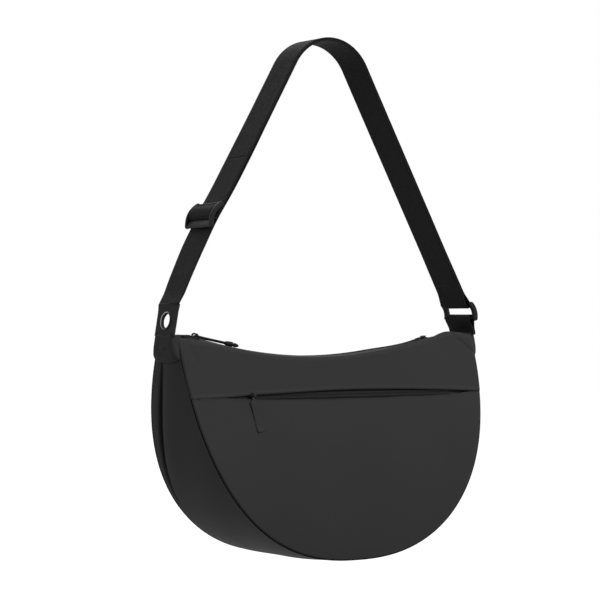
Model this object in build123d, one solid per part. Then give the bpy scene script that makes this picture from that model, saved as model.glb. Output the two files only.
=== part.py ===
from build123d import *
from math import asin, atan2, cos, degrees, hypot, pi, radians, sin, sqrt
import os

# Half-moon sling bag on one loop of webbing, hanging from its strap.
# Millimetres, +Z up, +X along the bag's length, front at -Y.
# The sizes below are measured from the line through the bag's two top corners; save() then moves
# every piece so that the origin is the underside of the strap's highest point.

# ---- bag body
BODY_HALF_WIDTH = 172.0     # middle to the outside of either end, along X
BODY_DROP = 208.0           # top corners down to the lowest point of the gusset
OUTLINE_POWER = 2.4         # 2 is an ellipse; more is squarer at the lower corners
TOP_DEPTH = 39.0            # front to back at the top corners
BOTTOM_DEPTH = 104.0        # front to back at the bottom
PANEL_T = 2.0               # padded outer panels
GUSSET_T = 2.4              # gusset fabric and its backing
LINING_T = 0.8
SEAM_GAP = 0.25             # between sewn layers that lie against each other
MOUTH_SAG = 20.5            # how far the mouth dips below the corners
MOUTH_RADIUS = 505.0        # the mouth, and the zip in it, is one arc
MOUTH_X = -12.0             # where the dip is lowest
MOUTH_END_T = 1.8           # facings that close the corners past the zip

# ---- front pocket
POCKET_LINE = 55.0          # zip centre below the corners, at the middle
POCKET_ZIP_SLOT = 7.0       # open height between yoke and pocket panel
POCKET_GAP = 9.0            # room in the pocket, front to back
POCKET_MARGIN = 12.0        # pocket bag inside the panel's edge
POCKET_LINING_T = 1.0

# ---- zips
TAPE_T = 0.7
COIL_W = 1.5                # each coil, across the zip
COIL_H = 2.0
COIL_SLIT = 1.2             # between the two coils, where the slider's divider runs
ZIP_END = 8.0               # tape past the last coil
STOP_L = 3.0
SLIDER_L = 9.5
SLIDER_W = 6.2
SLIDER_PLATE = 1.2
SLIDER_DIVIDER = 0.6
SLIDER_CLEAR = 0.3
BRIDGE_WIRE = 1.4
BRIDGE_RISE = 2.4
BRIDGE_L = 6.2
PULL_EYE = 0.35             # play of a pull on its bridge
MAIN_SLIDER_X = -142.0
MAIN_PULL_L = 27.0
MAIN_PULL_W = 5.0
MAIN_PULL_T = 1.6
MAIN_PULL_UP = 3.0          # degrees off the tape, so that the end lies on the zip
MAIN_END_L = 14.0
MAIN_END_D = 5.5
POCKET_SLIDER_X = -103.0
POCKET_PULL_L = 33.0
POCKET_PULL_W = 9.0
POCKET_PULL_T = 1.8
POCKET_PULL_IN = 2.5        # degrees, leaning back on the panel
PULL_NECK_T = 1.0
POCKET_ZIP_HALF = 122.0     # half the pocket coil's length

# ---- webbing, tab and eyelet
WEBBING_W = 38.0
WEBBING_T = 1.6
LAYER_GAP = 0.3             # between the two layers of the doubled strap
STRAP_RISE = 281.0          # top of the strap above the corners
APEX_RADIUS = 46.0          # inside bend over the shoulder
ROOT_OUT = 3.8              # middle of a strap root outside the bag's end
TAB_T = 4.0
TAB_H = 30.0
TAB_LEAN = 5.0              # degrees, towards the strap's top
EYELET_HOLE_R = 5.75
EYELET_FLANGE_R = 9.2
EYELET_WALL = 0.8
EYELET_FLANGE_T = 0.9
EYELET_UP = 14.0            # eyelet centre above the corners
PATCH_RIM = 1.6             # patch past the strap, each side
PATCH_DROP = 3.0            # patch's round edge is centred this far below the corners
PATCH_TOP = 2.5             # patch's straight edge below the corners
PATCH_T = 1.0
PATCH_GAP = 0.4
patch_r = WEBBING_W / 2 + PATCH_GAP + PATCH_RIM

# ---- adjuster and ring
BAR_D = 3.4
FRAME_SIDE = 4.0            # width of the side rails
FRAME_PLAY = 0.7            # webbing edge to side rail, each side
GLIDE_L = 25.0              # adjuster, along the strap
GLIDE_UP = 92.0             # adjuster centre above the tab, along the strap
GLIDE_PLAY = 0.3            # bar to webbing
GLIDE_BULGE = 3.0           # side rails bow out past the bars
SEWN_END_L = 62.0           # stretch of the return layer that follows the adjuster
RING_L = 19.0               # ring, along the strap
RING_UP = 28.5              # ring's upper bar above the corners
RING_LEAN = 16.0            # degrees from upright
RING_TILT_PLAY = 0.8        # room round the lower bar
ROOT_NECK = 8.6             # lower loop stays flat this far above the corners
LOOP_PLAY = 0.3             # room round every other bar
LOOP_L = 15.0               # bar to where a loop's two layers are sewn together
RING_BULGE = 3.5

strap_t = 2 * WEBBING_T + LAYER_GAP
root_x = BODY_HALF_WIDTH + ROOT_OUT
apex_z = STRAP_RISE - strap_t - APEX_RADIUS            # centre of the bend over the shoulder
mouth_z = MOUTH_RADIUS - MOUTH_SAG                     # centre of the mouth's arc
half_mouth = sqrt(MOUTH_RADIUS**2 - mouth_z**2)        # where the arc reaches the corners' line


def save(name, *shapes):
    """Writes one node, moved so that the strap's underside at its top is the origin."""
    solids = [s for shape in shapes for s in shape.solids()]
    part = solids[0] if len(solids) == 1 else Compound(children=solids)
    export_step(part.moved(Location((0, 0, strap_t - STRAP_RISE))), f"parts/{name}.step")


def face_xz(points):
    return make_face(Polyline(*[(x, 0, z) for x, z in points], close=True))


def along_y(face, half):
    return extrude(face, amount=half, dir=(0, 1, 0), both=True)


def slab(size, centre):
    return Box(*size).moved(Location(centre))


def rod_y(x, z, r, half):
    return Cylinder(r, 2 * half).rotate(Axis.X, 90).moved(Location((x, 0, z)))


# ---------------------------------------------------------------- bag body
def half_depth(z):
    """Half the bag's depth at height z: a quarter sine from the corners to the bottom."""
    grow = (BOTTOM_DEPTH - TOP_DEPTH) / 2
    return TOP_DEPTH / 2 + grow * sin(pi / 2 * min(1, max(0, -z / BODY_DROP)))


def half_moon(inset, top=0.0):
    """Half-moon slab along Y: half a superellipse below the corners, squared off at height top."""
    a, b, n = BODY_HALF_WIDTH - inset, BODY_DROP - inset, 2 / OUTLINE_POWER
    quarter = [(a * cos(t) ** n, -b * sin(t) ** n) for t in [radians(9 * i) for i in range(1, 10)]]
    run = [(a, 0), *quarter, (0, -b), *[(-x, z) for x, z in reversed(quarter)], (-a, 0)]
    curve = Spline(*[(x, 0, z) for x, z in run], tangents=[(0, 0, -1), (0, 0, 1)])
    lid = Polyline((-a, 0, 0), (-a, 0, top), (a, 0, top), (a, 0, 0)) if top else Line((-a, 0, 0), (a, 0, 0))
    return along_y(make_face([curve, *lid.edges()]), BOTTOM_DEPTH)


def depth_slab(front, back, up=30.0):
    """Slab along X between the bag's front surface moved in by front and its back one by back."""
    low = -BODY_DROP - 4
    levels = [low * i / 7 for i in range(8)]
    sides = []
    for sign, inset in ((-1, front), (1, back)):
        pts = [(0, sign * (half_depth(z) - inset), z) for z in levels]
        sides.append((Spline(*pts), pts))
    (f, fp), (b, bp) = sides
    top = [(0, fp[0][1], up), (0, bp[0][1], up)]
    rim = Polyline(fp[0], top[0], top[1], bp[0])
    face = make_face([f, b, *rim.edges(), Line(fp[-1], bp[-1])])
    return extrude(face, amount=400, dir=(1, 0, 0), both=True)


def under_mouth(below=0.0):
    """Everything under the dipping mouth, or that far under it."""
    r = MOUTH_RADIUS + below
    e = sqrt(r * r - mouth_z**2) if r > mouth_z else 0
    left, right, dip = MOUTH_X - e, MOUTH_X + e, mouth_z - r
    arc = ThreePointArc((left, 0, 0), (MOUTH_X, 0, dip), (right, 0, 0))
    w, low = 2 * BODY_HALF_WIDTH, -2 * BODY_DROP
    rest = Polyline((right, 0, 0), (w, 0, 0), (w, 0, low), (-w, 0, low), (-w, 0, 0), (left, 0, 0))
    return along_y(make_face([arc, *rest.edges()]), 200)


def between(low, high):
    return slab((900, 400, high - low), (0, 0, (low + high) / 2))


def panel(front, back):
    """The layer of the body between two depth slabs, over the whole half-moon."""
    return (half_moon(0) & (depth_slab(*front) - depth_slab(*back))) & under_mouth()


def make_gusset():
    band = half_moon(0) - half_moon(GUSSET_T, top=1)
    return band & depth_slab(PANEL_T + SEAM_GAP, PANEL_T + SEAM_GAP)


def make_back_panel():
    return panel((0, 0), (0, PANEL_T)) & slab((900, 300, 900), (0, 150, 0))


def front_layer(outer, inner, inset=0.0):
    """One layer of the front, from outer to inner below the front surface."""
    layer = depth_slab(outer, 0) - depth_slab(inner, -5)
    return half_moon(inset) & layer & slab((900, 300, 900), (0, -150, 0))


def make_front_yoke():
    """Upper front, down to the zip slot in the middle and to the pocket panel past the slot's ends."""
    low = -POCKET_LINE - POCKET_ZIP_SLOT / 2 + SEAM_GAP
    yoke = front_layer(0, PANEL_T) & under_mouth() & between(low, 40)
    slot_half = POCKET_ZIP_HALF + ZIP_END + 2
    slot = slab((2 * slot_half, 400, POCKET_ZIP_SLOT), (0, 0, -POCKET_LINE))
    return yoke - slot


def make_pocket_panel():
    return front_layer(0, PANEL_T) & between(-2 * BODY_DROP, -POCKET_LINE - POCKET_ZIP_SLOT / 2)


def make_pocket_lining():
    """Open-topped tray behind the pocket panel: the pocket's back, sides and bottom."""
    outer, back = PANEL_T + SEAM_GAP, PANEL_T + SEAM_GAP + POCKET_GAP
    tray = front_layer(outer, back + POCKET_LINING_T, POCKET_MARGIN)
    room = front_layer(outer - 1, back, POCKET_MARGIN + POCKET_LINING_T)
    top = -POCKET_LINE + POCKET_ZIP_SLOT / 2 + ZIP_END
    return (tray - room) & between(-2 * BODY_DROP, top)


def make_main_lining():
    """Bag inside the bag, open at the mouth."""
    front = PANEL_T + POCKET_GAP + POCKET_LINING_T + 2 * SEAM_GAP
    back, side = PANEL_T + SEAM_GAP, GUSSET_T + SEAM_GAP
    outer = half_moon(side) & depth_slab(front, back)
    inner = half_moon(side + LINING_T, top=1) & depth_slab(front + LINING_T, back + LINING_T)
    return (outer - inner) & under_mouth(COIL_H + 2) & between(-2 * BODY_DROP, -MOUTH_END_T - 2 * SEAM_GAP)


def make_seam_tape(sign):
    """Binding folded round the raw edges of a seam, inside the gusset."""
    t = 1.2
    edge = GUSSET_T + SEAM_GAP + LINING_T
    ring = half_moon(edge + 0.2) - half_moon(edge + 6, top=1)
    front = PANEL_T + POCKET_GAP + POCKET_LINING_T + 2 * SEAM_GAP + LINING_T + 0.3
    back = PANEL_T + SEAM_GAP + LINING_T + 0.3
    if sign < 0:
        return ring & (depth_slab(front, back) - depth_slab(front + t, -5)) & between(-2 * BODY_DROP, -14)
    return ring & (depth_slab(front, back) - depth_slab(-5, back + t)) & between(-2 * BODY_DROP, -14)


def disc_x(r, x0, x1, z=0.0):
    return Cylinder(r, x1 - x0).rotate(Axis.Y, 90).moved(Location(((x0 + x1) / 2, 0, z)))


def make_patch(side):
    """Round patch sewn to the gusset over a strap root: a face and a rim round its lower edge."""
    x0 = BODY_HALF_WIDTH + SEAM_GAP
    x1 = root_x + max(TAB_T, strap_t) / 2 + PATCH_GAP
    face = disc_x(patch_r, x1, x1 + PATCH_T, -PATCH_DROP) & between(-99, -PATCH_TOP)
    room = disc_x(WEBBING_W / 2 + PATCH_GAP, x0 - 1, x1 + 1)
    rim = (disc_x(patch_r, x0, x1, -PATCH_DROP) - room) & between(-99, -patch_r / 2)
    patch = face + rim
    return patch if side > 0 else mirror(patch, Plane.YZ)


def make_mouth_ends():
    """Facings that close the flat corners either side of the zip."""
    inside = half_moon(GUSSET_T + SEAM_GAP) & depth_slab(PANEL_T + SEAM_GAP, PANEL_T + SEAM_GAP)
    plate = between(-MOUTH_END_T, 0)
    left = slab((200, 200, 99), (zip_x0 - ZIP_END - 100 + 2.4, 0, 0))
    right = slab((200, 200, 99), (zip_x1 + ZIP_END + 100 - 2.4, 0, 0))
    return inside & plate & left, inside & plate & right


# ---------------------------------------------------------------- main zip, an arc in the mouth
def mouth_ring(r0, r1, y0, y1, x0, x1):
    """Piece of the mouth's arc, r0 to r1 below its line, from x0 to x1 along the bag."""
    ends = [asin((x - MOUTH_X) / MOUTH_RADIUS) for x in (x0, x1)]
    mid = sum(ends) / 2

    def at(r, a):
        return (MOUTH_X + r * sin(a), y0, mouth_z - r * cos(a))
    lo, hi = MOUTH_RADIUS + r0, MOUTH_RADIUS + r1
    a, b = ends
    loop = [ThreePointArc(at(lo, a), at(lo, mid), at(lo, b)), Line(at(lo, b), at(hi, b)),
            ThreePointArc(at(hi, b), at(hi, mid), at(hi, a)), Line(at(hi, a), at(lo, a))]
    return extrude(make_face(loop), amount=y1 - y0, dir=(0, 1, 0))


coil_in = COIL_SLIT / 2
coil_out = coil_in + COIL_W
zip_x0, zip_x1 = MOUTH_X - half_mouth + ZIP_END, MOUTH_X + half_mouth - ZIP_END


def make_main_tape(sign):
    """Tape from the coil to the panel's top edge."""
    y0, y1 = sorted((sign * (coil_in + 0.6), sign * BOTTOM_DEPTH / 2))
    mid = (COIL_H - TAPE_T) / 2
    x0, x1 = zip_x0 - ZIP_END + 3, zip_x1 + ZIP_END - 3
    tape = mouth_ring(mid, mid + TAPE_T, y0, y1, x0, x1)
    return (tape - make_main_coil(sign)) & depth_slab(PANEL_T + SEAM_GAP, PANEL_T + SEAM_GAP)


def make_main_coil(sign):
    y0, y1 = sorted((sign * coil_in, sign * coil_out))
    return mouth_ring(0, COIL_H, y0, y1, zip_x0, zip_x1)


def make_main_stops():
    """Four moulded stops, one on each coil's two ends."""
    out = []
    for x0, x1 in ((zip_x0 - 0.3 - STOP_L, zip_x0 - 0.3), (zip_x1 + 0.3, zip_x1 + 0.3 + STOP_L)):
        for sign in (-1, 1):
            y0, y1 = sorted((sign * coil_in, sign * (coil_out + 0.5)))
            stop = mouth_ring(-0.3, COIL_H + 0.3, y0, y1, x0, x1)
            out.append(stop - make_main_tape(sign))
    return out


def make_slider():
    """Slider at the origin, sliding along X, tapes in the XY plane, pull side up."""
    gap = COIL_H / 2 + SLIDER_CLEAR
    top = slab((SLIDER_L, SLIDER_W, SLIDER_PLATE), (0, 0, gap + SLIDER_PLATE / 2))
    top = fillet(top.edges().filter_by(Axis.Z), SLIDER_W * 0.3)
    low = slab((SLIDER_L, SLIDER_W, SLIDER_PLATE), (0, 0, -gap - SLIDER_PLATE / 2))
    low = fillet(low.edges().filter_by(Axis.Z), SLIDER_W * 0.3)
    wall = slab((SLIDER_L * 0.45, SLIDER_DIVIDER, 2 * gap + 1), (-SLIDER_L * 0.2, 0, 0))
    rise = gap + SLIDER_PLATE
    tall = BRIDGE_RISE + BRIDGE_WIRE
    outer = slab((BRIDGE_L, BRIDGE_WIRE + 0.6, tall), (0, 0, rise + tall / 2))
    hole = slab((BRIDGE_L - 2 * BRIDGE_WIRE, 9, BRIDGE_RISE), (0, 0, rise + BRIDGE_RISE / 2))
    outer = fillet(outer.edges().filter_by(Axis.Y).sort_by(Axis.Z)[-2:], 1.4)
    return top + low + wall + (outer - hole)


slider_eye = COIL_H / 2 + SLIDER_CLEAR + SLIDER_PLATE + BRIDGE_RISE / 2   # middle of the bridge's hole
slider_bar = slider_eye + (BRIDGE_RISE + BRIDGE_WIRE) / 2                 # middle of the bridge's bar


def on_mouth(shape, x):
    """Carries a shape made at the origin to the coil's middle at x on the mouth's arc."""
    a = asin((x - MOUTH_X) / MOUTH_RADIUS)
    r = MOUTH_RADIUS + COIL_H / 2
    return shape.rotate(Axis.Y, -degrees(a)).moved(Location((MOUTH_X + r * sin(a), 0, mouth_z - r * cos(a))))


def make_main_pull():
    """Flat tape through the bridge, lying towards +X, then a moulded round end."""
    pin_r = BRIDGE_RISE / 2 - PULL_EYE
    eye = Cylinder(pin_r, MAIN_PULL_W).rotate(Axis.X, 90)
    side = (MAIN_PULL_W - BRIDGE_WIRE - 0.6) / 2 - PULL_EYE
    ears = [slab((BRIDGE_L / 2 + 2.0, side, MAIN_PULL_T),
                 ((BRIDGE_L / 2 + 2.0) / 2, s * (MAIN_PULL_W - side) / 2, 0)) for s in (-1, 1)]
    x0 = BRIDGE_L / 2 + 1.0
    strip = slab((MAIN_PULL_L - x0, MAIN_PULL_W, MAIN_PULL_T), ((MAIN_PULL_L + x0) / 2, 0, 0))
    tape = eye + ears[0] + ears[1] + strip
    end = disc_x(MAIN_END_D / 2, MAIN_PULL_L - 3, MAIN_PULL_L - 3 + MAIN_END_L)
    end = fillet(end.edges(), MAIN_END_D * 0.32)
    socket = slab((3 + 2 * SEAM_GAP, MAIN_PULL_W + 0.2, MAIN_PULL_T + 0.2), (MAIN_PULL_L - 1.5, 0, 0))
    at = Location((0, 0, slider_eye))
    return [piece.rotate(Axis.Y, -MAIN_PULL_UP).moved(at) for piece in (tape, end - socket)]


# ---------------------------------------------------------------- pocket zip, straight along X
pocket_y = -half_depth(-POCKET_LINE)
pocket_slope = degrees(atan2(half_depth(-POCKET_LINE - 5) - half_depth(-POCKET_LINE + 5), 10))
pocket_depth = PANEL_T + SEAM_GAP + TAPE_T / 2          # coil's middle behind the front surface


def on_pocket(shape, x=0.0):
    """Carries a shape made at the origin, zip along X and pull side up, to the sloping front."""
    turned = shape.moved(Location((x, 0, -pocket_depth))).rotate(Axis.X, 90 - pocket_slope)
    return turned.moved(Location((0, pocket_y, -POCKET_LINE)))


def make_pocket_tape(sign):
    y0, y1 = coil_in + 0.5, POCKET_ZIP_SLOT / 2 + 7
    tape = slab((2 * (POCKET_ZIP_HALF + ZIP_END), y1 - y0, TAPE_T), (0, sign * (y0 + y1) / 2, 0))
    return on_pocket(tape - pocket_coil(sign))


def pocket_coil(sign):
    return slab((2 * POCKET_ZIP_HALF, COIL_W, COIL_H), (0, sign * (coil_in + coil_out) / 2, 0))


def make_pocket_stops():
    out = []
    for end in (-1, 1):
        for sign in (-1, 1):
            y = sign * (coil_in + coil_out + 0.5) / 2
            x = end * (POCKET_ZIP_HALF + 0.3 + STOP_L / 2)
            stop = slab((STOP_L, COIL_W + 0.5, COIL_H + 0.6), (x, y, 0))
            tape = slab((999, COIL_W + 2, TAPE_T), (0, sign * (coil_in + 0.5 + COIL_W / 2 + 1), 0))
            out.append(on_pocket(stop - tape))
    return out


def make_pocket_pull():
    """Fabric strip with a narrow neck sewn round the bridge's bar, hanging against the pocket panel."""
    r_in = hypot(BRIDGE_WIRE / 2 + 0.3, BRIDGE_WIRE / 2) + PULL_EYE - 0.05
    w = BRIDGE_L - 2 * BRIDGE_WIRE - 2 * PULL_EYE
    eye = disc_x(r_in + PULL_NECK_T, -w / 2, w / 2)
    neck_end = r_in + PULL_NECK_T + 4.0
    neck = slab((w, neck_end, POCKET_PULL_T), (0, -neck_end / 2, 0))
    strip_l = POCKET_PULL_L - neck_end + 1
    strip = slab((POCKET_PULL_W, strip_l, POCKET_PULL_T), (0, -POCKET_PULL_L + strip_l / 2, 0))
    pull = eye + neck + strip - disc_x(r_in, -9, 9)
    return pull.rotate(Axis.X, POCKET_PULL_IN).moved(Location((0, 0, slider_bar)))


# ---------------------------------------------------------------- strap
class Leg:
    """Straight stretch of the strap from its lower end to the bend over the shoulder."""

    def __init__(self, x, z):
        self.side = 1 if x > 0 else -1
        self.low = (x, z)
        r = APEX_RADIUS + strap_t / 2
        away = hypot(x, z - apex_z)
        turn = self.side * (pi / 2 - asin(r / away))
        base = atan2(z - apex_z, x) + turn
        self.out = (cos(base), sin(base))
        self.top = (r * self.out[0], apex_z + r * self.out[1])
        self.length = hypot(self.top[0] - x, self.top[1] - z)
        self.up = ((self.top[0] - x) / self.length, (self.top[1] - z) / self.length)
        self.lean = degrees(atan2(-self.side * self.up[0], self.up[1]))

    def at(self, along, out=0.0):
        return (self.low[0] + self.up[0] * along + self.out[0] * out,
                self.low[1] + self.up[1] * along + self.out[1] * out)


lean_x = TAB_H * sin(radians(TAB_LEAN))
left = Leg(-root_x + lean_x, TAB_H * cos(radians(TAB_LEAN)))
ring_reach = RING_L - BAR_D
right = Leg(root_x - ring_reach * sin(radians(RING_LEAN)), RING_UP)


def strap_run(lo, hi, left_from, right_from):
    """One layer of the strap, from one leg over the shoulder to the other."""
    def p3(p):
        return (p[0], 0, p[1])

    def bend(o):
        r = APEX_RADIUS + strap_t / 2 + o
        ends = [p3((leg.top[0] + leg.out[0] * o, leg.top[1] + leg.out[1] * o)) for leg in (left, right)]
        return ends, (0, 0, apex_z + r)
    (la, ra), ma = bend(lo)
    (lb, rb), mb = bend(hi)
    l0, l1 = p3(left.at(left_from, lo)), p3(left.at(left_from, hi))
    r0, r1 = p3(right.at(right_from, lo)), p3(right.at(right_from, hi))
    rim = [Line(l0, la), ThreePointArc(la, ma, ra), Line(ra, r0), Line(r0, r1),
           Line(r1, rb), ThreePointArc(rb, mb, lb), Line(lb, l1), Line(l1, l0)]
    return along_y(make_face(rim), WEBBING_W / 2)


def strap_stretch(leg, lo, hi, start, end):
    corners = [leg.at(start, lo), leg.at(end, lo), leg.at(end, hi), leg.at(start, hi)]
    return along_y(face_xz(corners), WEBBING_W / 2)


def bar_loop(length, play, end_half):
    """Webbing round a bar at the origin, its two layers meeting at height length above it."""
    r_in = BAR_D / 2 + play
    r_out = r_in + WEBBING_T
    outer = face_xz([(-r_out, 0), (r_out, 0), (end_half, length), (-end_half, length)])
    inner = face_xz([(-r_in, 0), (r_in, 0), (0, length * 0.7)])
    w = WEBBING_W / 2
    solid = along_y(outer, w) + rod_y(0, 0, r_out, w)
    return solid - along_y(inner, w + 1) - rod_y(0, 0, r_in, w + 1)


def on_leg(leg, shape, along, out=0.0):
    """Carries a shape made with +Z up the strap and -side X outwards onto a leg."""
    x, z = leg.at(along, out)
    return shape.rotate(Axis.Y, -leg.side * leg.lean).moved(Location((x, 0, z)))


inner_lo, inner_hi = -LAYER_GAP / 2 - WEBBING_T, -LAYER_GAP / 2
outer_lo, outer_hi = LAYER_GAP / 2, LAYER_GAP / 2 + WEBBING_T
sewn_top = GLIDE_UP + SEWN_END_L
glide_bar_out = outer_lo + WEBBING_T + 0.05 + LOOP_PLAY + BAR_D / 2    # centre bar from the strap's middle
glide_loop_half = 5.2                                                  # half the loop's height on the bar


def make_strap_main():
    """Webbing from the tab up over the shoulder, down and round the ring's upper bar."""
    run = strap_run(inner_lo, inner_hi, 1.3, LOOP_L)
    return run + on_leg(right, bar_loop(LOOP_L, LOOP_PLAY, strap_t / 2), 0)


def make_strap_return():
    """The same webbing's second layer, back from the ring over the shoulder."""
    return strap_run(outer_lo, outer_hi, sewn_top + SEAM_GAP, LOOP_L + SEAM_GAP)


def make_sewn_end():
    return strap_stretch(left, outer_lo, outer_hi, GLIDE_UP + glide_loop_half + SEAM_GAP, sewn_top)


def make_tab():
    """Fabric tab sewn over the webbing's end, with a round root that turns on the gusset."""
    root = disc_x(WEBBING_W / 2, -TAB_T / 2, TAB_T / 2) & between(-99, 0.2)
    hole_r = EYELET_HOLE_R + EYELET_WALL + 0.05
    plate = slab((TAB_T, WEBBING_W, TAB_H), (0, 0, TAB_H / 2)) - disc_x(hole_r, -9, 9, EYELET_UP)
    return (root + plate.rotate(Axis.Y, TAB_LEAN)).moved(Location((-root_x, 0, 0)))


def on_tab(shape):
    return shape.moved(Location((0, 0, EYELET_UP))).rotate(Axis.Y, TAB_LEAN).moved(Location((-root_x, 0, 0)))


def make_eyelet():
    """Rolled flange on the outside and a barrel through the tab."""
    out = -TAB_T / 2 - 0.05
    barrel = disc_x(EYELET_HOLE_R + EYELET_WALL, out - 0.3, TAB_T / 2 + 0.05 + EYELET_FLANGE_T)
    flange = disc_x(EYELET_FLANGE_R, out - EYELET_FLANGE_T, out)
    flange = fillet(flange.edges().filter_by(GeomType.CIRCLE).sort_by(Axis.X)[0], EYELET_FLANGE_T * 0.8)
    return on_tab(barrel + flange - disc_x(EYELET_HOLE_R, -20, 20))


def make_eyelet_washer():
    x0 = TAB_T / 2 + 0.05
    hole_r = EYELET_HOLE_R + EYELET_WALL + 0.05
    return on_tab(disc_x(EYELET_FLANGE_R, x0, x0 + EYELET_FLANGE_T) - disc_x(hole_r, 0, 20))


def make_lower_loop():
    """Webbing from the right end of the bag up round the ring's lower bar."""
    bar_z = RING_UP - ring_reach * cos(radians(RING_LEAN))
    length = bar_z - ROOT_NECK
    loop = bar_loop(length, RING_TILT_PLAY, strap_t / 2).rotate(Axis.Y, 180).moved(Location((0, 0, bar_z)))
    neck = slab((strap_t, WEBBING_W, ROOT_NECK + 0.2), (0, 0, ROOT_NECK / 2))
    root = disc_x(WEBBING_W / 2, -strap_t / 2, strap_t / 2) & between(-99, 0)
    return (loop + neck + root).moved(Location((root_x, 0, 0)))


def rail(points, bulge, t):
    """Bowed side rail: a band from the first point to the last, pushed out by bulge halfway."""
    (x0, z0), (x1, z1) = points
    xm, zm = (x0 + x1) / 2 - bulge, (z0 + z1) / 2
    back = ThreePointArc((x0 - t, 0, z0), (xm - t, 0, zm), (x1 - t, 0, z1))
    front = ThreePointArc((x1, 0, z1), (xm, 0, zm), (x0, 0, z0))
    caps = Line((x1 - t, 0, z1), (x1, 0, z1)), Line((x0, 0, z0), (x0 - t, 0, z0))
    face = make_face([back, front, *caps])
    solid = extrude(face, amount=FRAME_SIDE, dir=(0, 1, 0))
    return fillet(solid.edges().filter_by(Axis.Y), t * 0.3)


def framed(bars, ends, bulge):
    """Bars along Y joined at both ends by bowed rails; -X is outwards."""
    y = WEBBING_W / 2 + FRAME_PLAY
    t = BAR_D + 0.8
    frame = rail(ends, bulge, t).moved(Location((0, y, 0)))
    frame += mirror(frame, Plane.XZ)
    for x, z in bars:
        frame += rod_y(x, z, BAR_D / 2, y + 1.5)
    return frame


def make_glide():
    half = GLIDE_L / 2
    top_x = -(outer_hi + GLIDE_PLAY + BAR_D / 2)
    low_x = -(inner_hi + 0.05 + GLIDE_PLAY + BAR_D / 2)
    bars = [(top_x, half - BAR_D / 2 - 0.4), (-glide_bar_out, 0), (low_x, -half + BAR_D / 2 + 0.4)]
    ends = [(top_x + BAR_D / 2 + 0.4, half), (low_x + BAR_D / 2 + 0.4, -half)]
    return on_leg(left, framed(bars, ends, GLIDE_BULGE), GLIDE_UP)


def make_glide_loop():
    """The return layer's end, folded round the adjuster's centre bar and sewn."""
    r_in = BAR_D / 2 + LOOP_PLAY
    r_out = r_in + WEBBING_T
    w = WEBBING_W / 2
    h = glide_loop_half
    tongue = face_xz([(-r_out + 0.3, 0), (r_out, 0), (r_out, h), (r_out - WEBBING_T, h)])
    outer = rod_y(0, 0, r_out, w) + along_y(tongue, w)
    outer = outer - rod_y(0, 0, r_in, w + 1)
    return on_leg(left, outer.moved(Location((-glide_bar_out, 0, 0))), GLIDE_UP)


def make_ring():
    bars = [(0, 0), (0, -ring_reach)]
    ends = [(BAR_D / 2 + 0.4, BAR_D / 2), (BAR_D / 2 + 0.4, -ring_reach - BAR_D / 2)]
    ring = mirror(framed(bars, ends, RING_BULGE), Plane.YZ)
    return ring.rotate(Axis.Y, -RING_LEAN).moved(Location((right.low[0], 0, right.low[1])))


def make_bartacks():
    """Rows of stitching through the doubled webbing, proud of its outer face."""
    def row(length):
        return slab((0.35, WEBBING_W - 5, 0.9), (outer_hi + 0.2, 0, length))
    at = [on_leg(right, row(0), LOOP_L + d) for d in (3.0, 7.0)]
    root = [slab((0.35, WEBBING_W - 5, 0.9), (root_x + strap_t / 2 + 0.2, 0, z)) for z in (0.6, 2.4)]
    return at + root


os.makedirs("parts", exist_ok=True)

# strap, held at its highest point
save("strap_main_webbing", make_strap_main())
save("strap_return_webbing", make_strap_return())
save("strap_sewn_end", make_sewn_end())
save("strap_tab", make_tab())
save("eyelet", make_eyelet())
save("eyelet_washer", make_eyelet_washer())
save("ring_lower_loop", make_lower_loop())
save("strap_bartacks", *make_bartacks())

# adjuster and ring
save("adjuster_frame", make_glide())
save("adjuster_loop", make_glide_loop())
save("strap_ring", make_ring())

# bag
save("gusset", make_gusset())
save("back_panel", make_back_panel())
save("front_yoke", make_front_yoke())
save("pocket_panel", make_pocket_panel())
save("pocket_lining", make_pocket_lining())
save("main_lining", make_main_lining())
save("front_seam_binding", make_seam_tape(-1))
save("back_seam_binding", make_seam_tape(1))
save("mouth_ends", *make_mouth_ends())
save("left_root_patch", make_patch(-1))
save("right_root_patch", make_patch(1))
save("main_zip_tape_front", make_main_tape(-1))
save("main_zip_tape_back", make_main_tape(1))
save("main_zip_coil_front", make_main_coil(-1))
save("main_zip_coil_back", make_main_coil(1))
save("main_zip_stops", *make_main_stops())
save("pocket_zip_tape_lower", make_pocket_tape(-1))
save("pocket_zip_tape_upper", make_pocket_tape(1))
save("pocket_zip_coil_lower", on_pocket(pocket_coil(-1)))
save("pocket_zip_coil_upper", on_pocket(pocket_coil(1)))
save("pocket_zip_stops", *make_pocket_stops())

# sliders and pulls
pull_tape, pull_end = make_main_pull()
save("main_slider", on_mouth(make_slider(), MAIN_SLIDER_X))
save("main_pull_tape", on_mouth(pull_tape, MAIN_SLIDER_X))
save("main_pull_end", on_mouth(pull_end, MAIN_SLIDER_X))
save("pocket_slider", on_pocket(make_slider(), POCKET_SLIDER_X))
save("pocket_pull", on_pocket(make_pocket_pull(), POCKET_SLIDER_X))
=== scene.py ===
import math

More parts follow.
